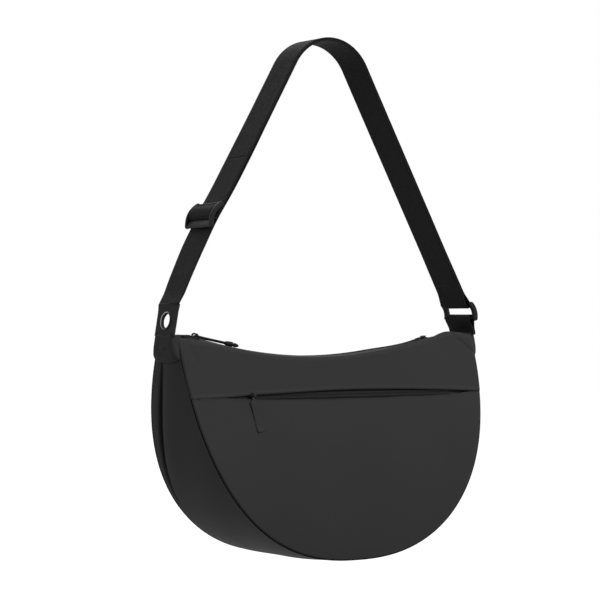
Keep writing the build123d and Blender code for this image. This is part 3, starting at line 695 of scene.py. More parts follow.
# ---------------------------------------------------------------- sliders
# Die-cast and painted black: two shaped plates joined by a divider, and a cast bridge for the pull.
def lacquer_recipe(at):
    """Black paint over a casting: faint orange peel, a few worn spots."""
    peel, spot = at.noise(1500.0, 2.0), at.noise(420.0, 3.0)
    colour = (spot * 1.6 - 0.5).blend((0.010, 0.010, 0.010), (0.026, 0.026, 0.027))
    return colour, 0.26 + spot * 0.16, at.bump(peel, 0.12, 0.00004)


lacquer = finish_of("slider_lacquer", lacquer_recipe, IOR=1.5, Specular_IOR_Level=0.07)


def squared(a, ex, ey):
    """Round-cornered loop: signed powers of cosine and sine; small powers square it off."""
    c, d = np.cos(a), np.sin(a)
    return np.sign(c) * np.abs(c) ** ex, np.sign(d) * np.abs(d) ** ey


def pebble(centre, half, flat, count=(14, 28)):
    """Superellipsoid: one squared loop carried along another."""
    up, rise = squared(np.linspace(-np.pi / 2, np.pi / 2, count[0])[:, None], flat[0], flat[0])
    x, y = squared(np.linspace(0, 2 * np.pi, count[1] + 1)[None, :-1], flat[1], flat[1])
    return xyz(half[0] * up * x, half[1] * up * y, half[2] * rise) + centre


def tube(path, ry, rz, side=(0.0, 1.0, 0.0), round_off=1.0, sides=16, tip=0.0):
    """Superellipse section carried along a path; its ends close to a point over the first and last rows."""
    path = np.asarray(path, float)
    t = np.gradient(path, axis=0)
    t /= np.linalg.norm(t, axis=1)[:, None]
    s = np.asarray(side, float) - (t @ np.asarray(side, float))[:, None] * t
    s /= np.linalg.norm(s, axis=1)[:, None]
    n = np.cross(t, s)
    c, d = squared(np.linspace(0, 2 * np.pi, sides + 1)[:-1], round_off, round_off)
    k = np.ones(len(path))
    if tip:
        run = run_of(*path.T)
        near = np.clip(np.minimum(run, run[-1] - run) / tip, 0, 1)
        k = np.sqrt(np.clip(1 - (1 - near) ** 2, 0, 1))
    ry, rz = np.broadcast_to(ry, len(path)) * k, np.broadcast_to(rz, len(path)) * k
    return path[:, None] + (ry[:, None] * c)[..., None] * s[:, None] + (rz[:, None] * d)[..., None] * n[:, None]


def bent(corners, r, count=9):
    """Path through corner points with round turns of radius r."""
    corners = [np.asarray(c, float) for c in corners]
    out = [corners[0][None]]
    for a, b, c in zip(corners, corners[1:], corners[2:]):
        u, v = (a - b) / np.linalg.norm(a - b), (c - b) / np.linalg.norm(c - b)
        k = np.linspace(0, 1, count)[:, None]
        p, q = b + u * r, b + v * r
        out.append((1 - k) ** 2 * p + 2 * k * (1 - k) * (b + (u + v) * r * 0.12) + k ** 2 * q)
    out.append(corners[-1][None])
    return np.concatenate(out)


def slider_parts(width):
    """Top and bottom plates, divider, and the bridge: a round-cornered arch along the zip."""
    top = pebble((0, 0, 1.9), (4.75, width, 0.62), (0.28, 0.62))
    top[..., 1] *= 1 - 0.17 * np.clip(-top[..., 0] / 4.75, -1, 1)
    crown = pebble((-0.6, 0, 2.35), (2.6, 1.7, 0.35), (0.8, 0.8))
    bottom = top * (1, 1, -1)
    divider = pebble((1.9, 0, 0), (2.1, 0.3, 1.6), (0.3, 0.5), (8, 12))
    arch = tube(bent([(-3.3, 0, 2.1), (-3.3, 0, 6.0), (3.0, 0, 6.0), (3.0, 0, 2.1)], 1.7), 1.05, 0.75,
                round_off=0.6, tip=0.2)
    return [top, crown, bottom[:, ::-1], divider, arch]


MAIN_SLIDER_X, POCKET_SLIDER_X = -143.5, -103.0


def on_mouth(p):
    """Takes points made flat, zip along x, to the main slider's place on the coil, 1 mm under the mouth's arc."""
    a = math.asin((MAIN_SLIDER_X - MOUTH_X) / MOUTH_R)
    x, z = turned(p[..., 0], p[..., 2] - MOUTH_R - 1, a)
    return xyz(MOUTH_X + x, p[..., 1], MOUTH_Z + z)


def at_pocket_slider(p):
    return on_pocket(p, POCKET_SLIDER_X)


for place, node, width in ((on_mouth, "main_slider", 3.1), (at_pocket_slider, "pocket_slider", 2.4)):
    parts = [place(p) for p in slider_parts(width)]
    seat(surface(node + "_cast", parts, lacquer, ring=(False, True)), node, node)


# ---------------------------------------------------------------- pulls
# Main pull: a loop of flat cord through the bridge, its two runs held in a moulded grip.
# Pocket pull: a strip of shell cloth on a narrow neck sewn round the bridge.
def plastic_recipe(at):
    """Injection-moulded acetal: black, satin, with fine drag marks."""
    mottle, fine = at.noise(260.0, 3.0), at.noise(2400.0, 2.0)
    colour = mottle.blend((0.0085, 0.0085, 0.0088), (0.0150, 0.0150, 0.0155))
    return colour, 0.34 + fine * 0.14 + mottle * 0.06, at.bump(fine, 0.10, 0.00005)


plastic = finish_of("moulded_plastic", plastic_recipe, IOR=1.5, Specular_IOR_Level=0.11)


def cord_recipe(at):
    """Braided polyester: two slanting waves across the cord's own lengthwise coordinate."""
    x, y, z = at.split()
    braid = (x * 5200.0 + y * 5200.0).wave() * (x * 5200.0 - y * 5200.0).wave()
    fuzz = at.noise(2500.0, 2.0)
    colour = (braid * 0.6 + fuzz * 0.4).blend((0.008, 0.008, 0.008), (0.020, 0.020, 0.021))
    return colour, 0.66 + fuzz * 0.15, at.bump(braid, 0.4, 0.00015)


braid = finish_of("pull_braid", cord_recipe, IOR=1.45, Specular_IOR_Level=0.12)


MAIN_PULL_LIFT, MAIN_EYE, POCKET_PULL_LEAN, POCKET_EYE = math.radians(4.1), 3.9, math.radians(3.5), 5.6


def lifted(p):
    """Turns a pull made along x up about the bridge's eye, and takes it to the main slider."""
    x, z = turned(p[..., 0], p[..., 2], MAIN_PULL_LIFT)
    return on_mouth(xyz(x, p[..., 1], MAIN_EYE + z))


loop = bent([(35, 0.95, 0), (10, 0.95, 0), (4.6, 2.1, 0), (0, 2.1, 0), (0, -2.1, 0), (4.6, -2.1, 0),
             (10, -0.95, 0), (35, -0.95, 0)], 0.9, 7)
run = run_of(*loop.T)
loop = at_runs(np.linspace(0, run[-1], 110), run, loop)
cord = lifted(tube(loop, 1.15, 1.1, side=(0, 0, 1), sides=12, tip=0.4))
seat(surface("main_pull_cord", cord, braid, ring=(False, True)), "main_pull", "main_pull_tape")

x = np.concatenate([33 + 0.9 * (1 - np.cos(np.linspace(0, np.pi / 2, 6))), np.linspace(34.2, 47.6, 34),
                    49 - 1.3 * (1 - np.sin(np.linspace(0, np.pi / 2, 8)))])
k = (x - 33) / 16
girth = (3.0 - 0.5 * k) * np.clip(np.sin(np.pi * np.clip(k, 0, 1) ** 0.9), 0, 1) ** 0.33
girth = girth * (1 - 0.34 * np.exp(-((k - 0.63) / 0.06) ** 2)) * (1 - 0.06 * np.exp(-((k - 0.28) / 0.03) ** 2))
girth[0] = girth[-1] = 0.02
a = np.linspace(0, 2 * np.pi, 29)[:-1]
grip = xyz(x[:, None], girth[:, None] * np.cos(a), 0.88 * girth[:, None] * np.sin(a))
grip = surface("main_pull_grip", lifted(grip), plastic, ring=(False, True))
seat(grip, "main_pull", "main_pull_end")


def strip_points():
    """Neck round the bridge, then a flat strip: width and place along its length, round-edged section."""
    a = np.linspace(-0.5 * np.pi, 1.45 * np.pi, 26)
    ring = xyz(0.0, 2.0 * np.cos(a + np.pi / 2), 2.0 * np.sin(a + np.pi / 2))
    neck = tube(ring, 1.35, 0.5, side=(1, 0, 0), round_off=0.5)
    s = np.concatenate([np.linspace(1.6, 7, 12), np.linspace(7.6, 34.6, 40)])
    half = 1.35 + 3.1 * ease((s - 3.4) / 2.6)
    curl = 0.5 * np.clip((s - 27) / 6, 0, 1) ** 2 + 0.25 * np.sin(s / 6.5)
    path = xyz(0.16 * np.clip(s - 3, 0, 40) - 1.2 + 0.2 * np.sin(s / 7), -s, curl)
    flat = tube(path, half, 0.85, side=(1, 0, 0), round_off=0.42, sides=28, tip=0.8)
    return neck, flat


parts = []
for p in strip_points():
    y, z = turned(p[..., 1], p[..., 2], POCKET_PULL_LEAN)
    parts.append(at_pocket_slider(xyz(p[..., 0], y, POCKET_EYE + z)))
strip = surface("pocket_pull_strip", parts, shell_cloth, ring=(False, True))
seat(strip, "pocket_pull", "pocket_pull")


# ---------------------------------------------------------------- strap webbing
# One length of 38 mm nylon webbing, woven with a ribbed face and a firm rolled edge. It leaves the tab,
# goes over the shoulder and round the ring, and comes back on its own outer side to the adjuster.
def webbing_recipe(at):
    """Ribs across the cloth's own run, slanting one way and then the other every 4.5 mm, over single yarns."""
    u, v = at.cloth_uv()
    slant = u.pingpong(4.5)
    rib = ((v + slant * 0.55) * 4.4).wave()
    yarn = (u * 8.5).wave()
    fuzz = at.noise(1900.0, 3.0)
    broad = at.noise(30.0, 2.0)
    height = rib * 0.6 + yarn * 0.25 + fuzz * 0.15
    colour = (height * 0.75 + broad * 0.35).blend((0.0085, 0.0085, 0.0088), (0.0245, 0.0245, 0.0250))
    return colour, 0.68 + fuzz * 0.14, at.bump(height, 0.45, 0.00022)


webbing = finish_of("webbing_weave", webbing_recipe, IOR=1.45, Specular_IOR_Level=0.10)

LEFT_LOW, RIGHT_LOW = np.array([-170.6, 29.5]), np.array([165.9, 28.5])
BEND_X, APEX_Z, BEND_R = -0.5, 232.0, 47.1


def leg_frame(low, side):
    """Where a straight leg meets the round bend: tangent point, length, and the point's angle on the bend."""
    away = math.hypot(low[0] - BEND_X, low[1] - APEX_Z)
    base = math.atan2(low[1] - APEX_Z, low[0] - BEND_X) + side * (math.pi / 2 - math.asin(BEND_R / away))
    top = np.array([BEND_X, APEX_Z]) + BEND_R * np.array([math.cos(base), math.sin(base)])
    return top, math.hypot(*(top - low)), base


left_top, LEFT_LONG, a0 = leg_frame(LEFT_LOW, -1)
right_top, RIGHT_LONG, a1 = leg_frame(RIGHT_LOW, 1)
ARC_LONG = BEND_R * ((a0 - a1) % (2 * math.pi))
WHOLE = LEFT_LONG + ARC_LONG + RIGHT_LONG


def strap_line(s):
    """Middle line of the doubled strap, s along it from the tab: left leg, round bend, right leg.
    Returns x, z and the outward normal."""
    s = np.asarray(s, float)
    k = np.clip(s / LEFT_LONG, None, 1)[..., None]
    left = LEFT_LOW + k * (left_top - LEFT_LOW)
    angle = a0 - np.clip(s - LEFT_LONG, 0, ARC_LONG) / BEND_R
    arc = xyz(BEND_X + BEND_R * np.cos(angle), APEX_Z + BEND_R * np.sin(angle))
    m = ((s - LEFT_LONG - ARC_LONG) / RIGHT_LONG)[..., None]
    right = right_top + m * (RIGHT_LOW - right_top)
    point = np.where(s[..., None] < LEFT_LONG, left, np.where(m < 0, arc, right))
    return point[..., 0], point[..., 1], np.cos(angle), np.sin(angle)


def strap_twist(s):
    """The strap's back edge runs tighter than its front one: a slight turn about its own line, in radians."""
    return np.radians(np.interp(s, [0, 30, 60, 110, LEFT_LONG, LEFT_LONG + ARC_LONG, WHOLE - 60, WHOLE],
                                [4.8, 2.8, 1.0, 2.6, 2.8, -1.2, -1.4, 0.8]))


def strap_bow(s):
    """The stiff webbing bows outwards between the tab and the adjuster, and barely at all above it."""
    return through(s, [-10, 0, 30, 60, 90, 112, 150, 190, 240, WHOLE], [0, 0.2, 2.6, 4.1, 3.9, 2.2, 1.0, 0.5, 0, 0])


def on_strap(s, y, out):
    """Point beside the strap's line: y across it and out from its middle, turned by its twist."""
    x, z, ox, oz = strap_line(s)
    across, off = turned(y, out, -strap_twist(s))
    off = off + strap_bow(s)
    return xyz(x + ox * off, across, z + oz * off)


def band(half, thick):
    """Section of webbing: flat faces and a round, slightly fatter edge; angle by angle round it."""
    r = thick / 2
    edge = np.linspace(-np.pi / 2, np.pi / 2, 7)
    flat = np.linspace(-1, 1, 15)[1:-1] * (half - r)
    y = np.concatenate([half - r + r * np.cos(edge), flat[::-1], -(half - r) - r * np.cos(edge), flat])
    o = np.concatenate([r * np.sin(edge), 0 * flat + r, -r * np.sin(edge), 0 * flat - r])
    return y, o * (1 + 0.16 * np.exp(-((np.abs(y) - half + 1.6) / 0.9) ** 2))


WEB_HALF, WEB, PLY = 19.0, 1.5, 0.85
WEB_Y, WEB_O = band(WEB_HALF, WEB)


def woven(name, rows, runs, node):
    """Webbing from rows of points round its section; its ends close on their own middles."""
    caps = [row + (row.mean(0) - row) * 0.98 for row in (rows[0], rows[-1])]
    rows = np.concatenate([caps[:1], rows, caps[1:]])
    runs = np.concatenate([runs[:1], runs, runs[-1:]])
    piece = surface(name, rows, webbing, ring=(False, True), uv=xyz(WEB_Y, runs[:, None]))
    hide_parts(node)
    return piece


def waver(s):
    """Slack between the two layers: they part a little here and there."""
    return 0.3 * (0.5 + 0.5 * np.sin(s / 23.0 + 1.3)) * np.clip(np.minimum(s - 20, 210 - s) / 40, 0, 1)


def laid(name, path_s, path_o, node, across=1.0):
    """Webbing carried along a line drawn beside the strap: s along it, o out from its middle. Its section's
    thickness follows the line's own normal; across is a share of its full width."""
    ts, to = np.gradient(path_s), np.gradient(path_o)
    n = np.hypot(ts, to)
    s = path_s[:, None] - WEB_O * (to / n)[:, None]
    out = path_o[:, None] + WEB_O * (ts / n)[:, None]
    return woven(name, on_strap(s, across * WEB_Y + 0 * s, out), run_of(path_s, path_o), node)


# inner layer from the tab, over the shoulder, then down and round the ring's upper bar
RING_R, RING_PLY = 2.75, 15.0
s = np.linspace(-1.5, WHOLE - RING_PLY, 320)
k = np.linspace(0, 1, 14)[1:]
turn = np.linspace(0, np.pi, 15)[1:]
path_s = np.concatenate([s, WHOLE - RING_PLY * (1 - k), WHOLE + RING_R * np.sin(turn), WHOLE - (RING_PLY - 0.3) * k])
path_o = np.concatenate([-PLY * ease(s / 12) - waver(s), -PLY - (RING_R - PLY) * ease(k), -RING_R * np.cos(turn),
                         RING_R - (RING_R - PLY) * ease(k)])
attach(laid("strap_inner_webbing", path_s, path_o, "strap_main_webbing"), "strap")

# outer layer, back over the shoulder to the stretch above the adjuster
SEWN_TOP, GLIDE = 154.0, 92.0
s = np.linspace(WHOLE - RING_PLY - 0.1, SEWN_TOP + 0.1, 290)
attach(laid("strap_outer_webbing", s, PLY + waver(s), "strap_return_webbing"), "strap")

# the stretch above the adjuster, drawn at one length; on the strap itself it gets longer or shorter as the adjuster
# moves
s = np.linspace(SEWN_TOP - 0.1, GLIDE + 5.0, 60)
sewn = laid("strap_adjusting_webbing", s, PLY + waver(s), "strap_sewn_end")
ends = [Vector(on_strap(np.array([k]), 0.0, PLY)[0] * 0.001) + Vector((0, 0, corner_z)) for k in (s[0], s[-1])]
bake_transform(sewn)


# ---------------------------------------------------------------- adjuster
# Three-bar slide moulded in black acetal: bowed side rails, round outer bars, a flat one between. The
# webbing's end goes round the flat bar and is sewn back under the top one.
def rail(s0, s1, o0, om, o1, y0, thick, wide):
    """Bowed side rail beside the strap: a parabola out from its ends, square section with round corners."""
    k = np.linspace(0, 1, 31)
    s = s0 + (s1 - s0) * k
    o = o0 + (o1 - o0) * k + (om - (o0 + o1) / 2) * 4 * k * (1 - k)
    return tube(xyz(s, y0, o), wide / 2, thick / 2, side=(0, 1, 0), round_off=0.5, sides=20, tip=2.2)


def bar(s, o, reach, along, thick):
    """Bar across the strap; its open ends are inside the side rails."""
    return tube(xyz(s, np.linspace(-reach, reach, 13), o), along, thick, side=(1, 0, 0), sides=18, round_off=0.8)


parts = [rail(GLIDE + 11.0, GLIDE - 16.2, 2.6, 6.5, 1.6, side * 20.4, 4.6, 2.7) for side in (-1, 1)]
parts += [bar(GLIDE + 9.6, 3.2, 20.4, 1.2, 1.2), bar(GLIDE - 0.4, 3.9, 20.4, 4.6, 1.6),
          bar(GLIDE - 12.1, 3.2, 20.4, 4.3, 1.5)]
parts = [on_strap(p[..., 0], p[..., 1], p[..., 2]) for p in parts]
adjuster = surface("adjuster_slide", parts, plastic, ring=(False, True))
seat(adjuster, "adjuster", "adjuster_frame")

turn = np.linspace(-np.pi / 2, np.pi / 2, 17)
tail = np.linspace(0, 1, 16)[1:]
FLAT_LOW, FLAT_R = GLIDE - 4.2, 3.15
path_s = np.concatenate([np.linspace(GLIDE + 4.6, FLAT_LOW + 0.4, 8), FLAT_LOW - FLAT_R * np.cos(turn),
                         FLAT_LOW + (GLIDE + 8.6 - FLAT_LOW) * tail])
path_o = np.concatenate([np.full(8, 3.9 - FLAT_R), 3.9 + FLAT_R * np.sin(turn),
                         3.9 + FLAT_R + 0.9 * np.sin(np.pi * tail ** 0.8) - 1.7 * ease((tail - 0.35) / 0.65)])
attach(laid("adjuster_webbing_loop", path_s, path_o, "adjuster_loop", 0.99), "adjuster")


# ---------------------------------------------------------------- ring and lower loop
# A moulded ring with bowed sides. The strap holds its upper bar; a short loop of the same webbing,
# sewn into the bag's right end, holds its lower one.
RING_TURN = math.radians(1.0)
ROOT_X, LOW_BAR_X, LOW_BAR_Z = 174.4, 170.8, 15.4
RING_LEAN = math.atan2(LOW_BAR_X - RIGHT_LOW[0], RIGHT_LOW[1] - LOW_BAR_Z)
RING_LONG = math.hypot(LOW_BAR_X - RIGHT_LOW[0], RIGHT_LOW[1] - LOW_BAR_Z)


def at_root(p, x0=ROOT_X, turn=RING_TURN):
    """Turns points about the upright line through a strap root."""
    x, y = turned(p[..., 0] - x0, p[..., 1], turn)
    return xyz(x0 + x, y, p[..., 2])


def ring_point(p):
    """Ring's own plane, u down it from the upper bar and o outwards, to its lean."""
    x, z = turned(p[..., 2], -p[..., 0], RING_LEAN)
    return at_root(xyz(RIGHT_LOW[0] + x, p[..., 1], RIGHT_LOW[1] + z))


parts = [rail(-2.4, RING_LONG + 2.6, 0.2, 3.2, 0.2, side * 21.0, 5.2, 4.4) for side in (-1, 1)]
parts += [bar(0.0, 0.0, 20.5, 1.7, 1.7), bar(RING_LONG, 0.0, 20.5, 1.7, 1.7)]
ring = surface("strap_ring_moulded", [ring_point(p) for p in parts], plastic, ring=(False, True))
seat(ring, "ring", "strap_ring")

# the lower loop's two plies go up from a round foot inside the bag, part, and fold over the lower bar
FOLD_R, ROOT_HALF, ROOT_DEEP, PART_Z = 3.2, 12.4, 13.0, 4.5
k = np.linspace(0, 1, 30)
turn = np.linspace(0, np.pi, 17)[1:-1]
leg = -ROOT_DEEP + (LOW_BAR_Z + ROOT_DEEP) * k
up = np.concatenate([leg, LOW_BAR_Z + FOLD_R * np.sin(turn), leg[::-1]])
side = PLY + (FOLD_R - PLY) * ease((leg - PART_Z) / (LOW_BAR_Z - PART_Z))
over = np.concatenate([-side, -FOLD_R * np.cos(turn), side[::-1]])
tu, tv = np.gradient(up), np.gradient(over)
n = np.hypot(tu, tv)
z = up[:, None] - WEB_O * (tv / n)[:, None]
x = ROOT_X + (LOW_BAR_X - ROOT_X) * ease(z / LOW_BAR_Z) + over[:, None] + WEB_O * (tu / n)[:, None]
half = np.where(up < -0.8, np.sqrt(np.clip(ROOT_HALF**2 - np.clip(up, None, 0) ** 2, 1, None)) / WEB_HALF, 0.955)
rows = at_root(xyz(x, WEB_Y * half[:, None], z))
low_loop = woven("ring_lower_webbing", rows, run_of(up, over), "ring_lower_loop")
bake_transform(low_loop)


# ---------------------------------------------------------------- tab and eyelet
# The strap's other end is covered by a folded tab of shell cloth with an eyelet pressed through it: a
# rolled ring outside, a flat washer inside, both of dark nickel-plated brass.
TAB_LEAN, TAB_TURN, EYELET_UP = math.radians(10.0), math.radians(-1.0), 14.0
TAB_X, TAB_HALF, TAB_TOP, HOLE_R, TAB_EDGE = -175.8, 16.6, 30.2, 6.9, 0.9


def tab_thick(h):
    """Half the tab's thickness: thin over the eyelet, fuller where it folds round the webbing."""
    return 0.95 + 0.6 * ease((h - 22.0) / 6.5)


def on_tab(p):
    """Tab's own plane: y across, h up from the corners' line, q outwards, leaned and turned."""
    z, x = turned(p[..., 1], -p[..., 2], TAB_LEAN)
    return at_root(xyz(TAB_X + x, p[..., 0], z), TAB_X, TAB_TURN)


def tab_points():
    """Out from the eyelet's hole to the tab's edge, over it and back: straight sides and top, a round root."""
    a = np.linspace(0, 2 * np.pi, 241)[None, :-1]
    c, d = np.cos(a), np.sin(a)
    side = TAB_HALF / np.maximum(np.abs(c), 1e-6)
    up = (TAB_TOP - EYELET_UP) / np.maximum(d, 1e-6)
    root = -EYELET_UP * d + np.sqrt(np.clip((EYELET_UP * d) ** 2 + ROOT_HALF**2 - EYELET_UP**2, 0, None))
    reach = np.minimum(side, np.where(d > 0, up, 1e9))
    reach = np.where(EYELET_UP + reach * d < -0.8, root, reach)
    k = np.linspace(0, 1, 22)[:, None]
    turn = np.linspace(np.pi / 2, -np.pi / 2, 7)[1:-1, None]
    edge = reach - TAB_EDGE
    face = HOLE_R + k * (edge - HOLE_R)
    r = np.concatenate([face, edge + TAB_EDGE * np.cos(turn), face[::-1]])
    full = np.concatenate([1 + 0 * face, np.sin(turn) + 0 * a, -1 - 0 * face])
    h = EYELET_UP + r * d
    press = 0.22 * np.exp(-((r - 9.4) / 1.2) ** 2) + 0.3 * np.exp(-((h - 28.0) / 0.5) ** 2)
    ripple = 0.12 * np.sin(r * c / 4.3) * np.sin(h / 5.1 + 1)
    return xyz(r * c, h, full * (tab_thick(h) - press * (np.abs(full) > 0.99)) + ripple)


tab = surface("strap_tab_cloth", on_tab(tab_points())[:, ::-1], shell_cloth, ring=(True, True))
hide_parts("strap_tab")
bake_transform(tab)


def metal_recipe(at):
    """Black nickel plate with a painted highlight: pale where the attribute paints the rolled edge's highlight, fine
    brushed noise, duller in small patches.
    """
    brushed, patch = at.noise(1800.0, 3.0), at.noise(220.0, 2.0)
    wear_and_highlight = at.wear_and_highlight()
    shade = wear_and_highlight * (0.75 + patch * 0.25) + brushed * 0.06
    colour = shade.blend((0.012, 0.012, 0.013), (0.62, 0.62, 0.63))
    return colour, 0.78 + wear_and_highlight * -0.5 + brushed * 0.08, at.bump(brushed, 0.1, 0.00003)


nickel = finish_of("dark_nickel", metal_recipe, Metallic=1.0)


def spun(name, r, q, rub_and_highlight, node):
    """Ring spun from a closed profile of radius and height about the eyelet's axis, with a painted highlight carried
    in its attribute.
    """
    a = np.linspace(0, 2 * np.pi, 65)[None, :-1]
    r, q = np.asarray(r)[:, None], np.asarray(q)[:, None]
    p = xyz(r * np.cos(a), EYELET_UP + r * np.sin(a), q)
    # painted highlight: the pale values are weighted round the ring, palest on the side facing the light
    rub_and_highlight = np.asarray(rub_and_highlight)[:, None] * (0.54 + 0.46 * np.cos(a - 0.35)) ** 2
    seat(surface(name, on_tab(p), nickel, ring=(True, True), wear_and_highlight=rub_and_highlight), "strap", node)


# third lists: painted highlight along each profile, strongest on the rolled edge's crest
spun("eyelet_ring", [6.72, 6.7, 6.72, 6.85, 7.15, 7.6, 8.1, 8.4, 8.5, 8.4, 8.1, 7.2, 7.1, 7.05, 6.9],
     [-1.25, 0, 1.0, 1.5, 1.85, 1.95, 1.8, 1.5, 1.15, 0.9, 0.82, 0.8, 0.6, -1.2, -1.35],
     [0, 0, 0, 0.02, 0.25, 0.9, 1, 0.8, 0.3, 0.1, 0, 0, 0, 0, 0], "eyelet")
spun("eyelet_back_washer", [7.1, 8.4, 8.6, 8.5, 8.0, 7.3, 7.05],
     [-0.85, -0.88, -1.05, -1.3, -1.5, -1.5, -1.2],
     [0, 0, 0.5, 0.9, 0.6, 0.3, 0], "eyelet_washer")


# ---------------------------------------------------------------- root patches
# Each strap root is covered by a patch of shell cloth as wide as the gusset, folded at its top edge,
# with a round lower edge and one line of stitches inside it.
PATCH_X, HEM_LINE = 177.9, 2.4


def gusset_face(y, z):
    """How far out the gusset's face is beside a root: seam line and bulge, less the roll at its edges."""
    half = half_depth(z) - GUSSET_ROLL
    v = np.clip(np.abs(y) / half, 0, 1)
    return half_width(z) + 0.9 * (1 - v ** 2.6) - rolled((1 - v) * half, GUSSET_ROLL)


def patch_foot(u):
    """How far down a patch goes: a rounded lower edge."""
    return 24.0 - 2.6 * np.abs(u) ** 3


def patch_face(u, v):
    """Patch over a root, u across and v down: a pillow over the root, down on the gusset at sides and foot."""
    foot = patch_foot(u)
    z = 0.2 - v * foot
    y = u * (half_depth(z) + PINCH * np.exp(z / PINCH_FADE) - GUSSET_ROLL - 1.6 * v)
    base = gusset_face(y, z) + 0.9
    deep = np.clip((1 - np.abs(u) ** 10) * (1 - v ** 6), 0, 1) ** 0.6
    groove = 0.8 * np.exp(-(((1 - v) * foot - HEM_LINE) / 0.6) ** 2) * (np.abs(u) < 0.93)
    soft = 0.22 * np.sin(y / 5.5 + 1) * np.sin(z / 6.0) * (v > 0.02)
    return base + (PATCH_X - base) * deep - groove + soft, y, z


def patch_points(side):
    """The face, with a turned edge along its top."""
    u, v = crowded(61, 1.6)[None, :], np.linspace(0, 1, 45)[:, None] ** 0.8
    x, y, z = patch_face(u, v)
    top = np.array([[1.0], [0.75], [0.3]])
    x = np.concatenate([x[:1] - 1.6 * top, x])
    z = np.concatenate([z[:1] - 0.9 + np.sqrt(1 - top**2), z])
    p = xyz(side * x, np.concatenate([0 * top + y[:1], y]), z)
    return p if side < 0 else p[:, ::-1]


for side, node in ((-1, "left_root_patch"), (1, "right_root_patch")):
    patch = surface(node + "_cloth", patch_points(side)[:, ::-1], shell_cloth, wall=0.5)
    seat(patch, "bag", node)


def seam_shade_recipe(at):
    """Painted shade of a seam's groove: a near-black cord, barely varied."""
    speck = at.noise(900.0, 2.0)
    colour = speck.blend((0.0060, 0.0060, 0.0062), (0.0110, 0.0110, 0.0113))
    return colour, 0.9 + speck * 0.1, at.bump(speck, 0.1, 0.00002)


painted_seam_shade = finish_of("painted_seam_shade", seam_shade_recipe, IOR=1.4, Specular_IOR_Level=0.0)
# painted shade: a thin near-black tube along each panel's seam stands in for the shade deep in the seam's groove
bx, bz, nx, nz = outline(even(300, 1.5))
for sign, name in ((-1, "front_seam_shade_line"), (1, "back_seam_shade_line")):
    path = xyz(bx + 0.4 * nx, sign * (half_depth(bz) - 1.7), bz + 0.4 * nz)
    seam = surface(name, tube(path, 0.62, 0.62, sides=8), painted_seam_shade, ring=(False, True))
    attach(seam, "bag")


# ---------------------------------------------------------------- stitches
# Bonded nylon thread, a shade darker than the cloth, 2.6 mm to a stitch. Bar-tacks are the same thread
# packed close in rows through the doubled webbing.
def thread_recipe(at):
    """Twisted thread: a fine sheen broken by its plies."""
    ply = at.noise(4200.0, 1.0)
    colour = ply.blend((0.014, 0.014, 0.014), (0.026, 0.026, 0.027))
    return colour, 0.48 + ply * 0.15, at.bump(ply, 0.2, 0.00005)


thread = finish_of("thread_nylon", thread_recipe, IOR=1.5, Specular_IOR_Level=0.15)


def stitches(name, rows, body, long=1.05, thick=0.26):
    """Spindles: girth is the root of 1 minus k squared along each stitch, a circle round it.
    Each row is middles, directions and outward normals."""
    mid, ahead, out = (np.concatenate([row[i] for row in rows]) for i in range(3))
    ahead = ahead / np.linalg.norm(ahead, axis=-1, keepdims=True)
    across = np.cross(ahead, out)
    across /= np.linalg.norm(across, axis=-1, keepdims=True)
    out = np.cross(across, ahead)
    a, k = np.linspace(0, 2 * np.pi, 7)[:-1], np.linspace(-1, 1, 6)
    girth = thick * np.sqrt(np.clip(1.02 - k * k, 0, 1))[None, :, None, None]
    ahead, across, out = (m[:, None, None] for m in (ahead, across, out))
    section = np.cos(a)[:, None] * across + np.sin(a)[:, None] * out
    p = mid[:, None, None] + long * k[:, None, None] * ahead + girth * section
    piece = surface(name, list(p), thread, ring=(False, True))
    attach(piece, body)
    return piece


def spaced(line, outs, pitch=2.6):
    """Stitch middles, directions and normals at even steps along a line of points."""
    run = run_of(*line.T)
    at = np.arange(pitch / 2, run[-1], pitch)
    return [at_runs(at, run, m) for m in (line, np.gradient(line, axis=0), outs)]


def tack(s, out):
    """Bar-tack across the strap: stitches side by side, each along the strap."""
    y = np.linspace(-16.0, 16.0, 52)
    mid = on_strap(s + 0 * y, y, out)
    return [mid, on_strap(s + 1 + 0 * y, y, out) - mid, on_strap(s + 0 * y, y, out + 1) - mid]


PROUD = 0.02
across = np.linspace(-15.8, 15.8, 40)
rows = []
for h in (27.9, 25.9):
    for side in (1, -1):
        line = on_tab(xyz(across, h, side * (tab_thick(h) + PROUD)))
        rows.append(spaced(line, line * 0 + (-side, 0, 0)))
stitches("tab_stitches", rows, "strap")

rows = []
for side in (-1, 1):
    u = np.linspace(-0.86, 0.86, 60)
    x, y, z = patch_face(u, 1 - HEM_LINE / patch_foot(u))
    line = xyz(side * (x + 0.22), y, z)
    rows.append(spaced(line, line * 0 + (side, 0, 0)))
stitches("patch_stitches", rows, "bag")

across = np.linspace(-15.5, 15.5, 50)
rows = [tack(WHOLE - down, q * (PLY + WEB / 2 + PROUD)) for q in (1, -1) for down in (18.5, 22.5)]
for z in (0.9, 3.1):
    for q in (-1, 1):
        mid = at_root(xyz(ROOT_X + q * 1.62, across, z))
        rows.append([mid, mid * 0 + (0, 0, 1), mid * 0 + (q, 0, 0)])
tacks = stitches("strap_bar_tacks", rows, "strap", long=0.9, thick=0.22)
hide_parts("strap_bartacks")
stitches("adjuster_bar_tack", [tack(GLIDE + 7.4, 3.9 + FLAT_R + WEB / 2 - 1.05)], "adjuster", long=0.9, thick=0.22)

x = np.linspace(-166, 166, 300)
rows = []
for sign in (-1, 1):
    line = xyz(x, sign * (FACING + 1.6), zip_line(x) + 0.42)
    rows.append(spaced(line, line * 0 + (0, 0, 1), 2.8))
stitches("mouth_stitches", rows, "bag", long=1.1)


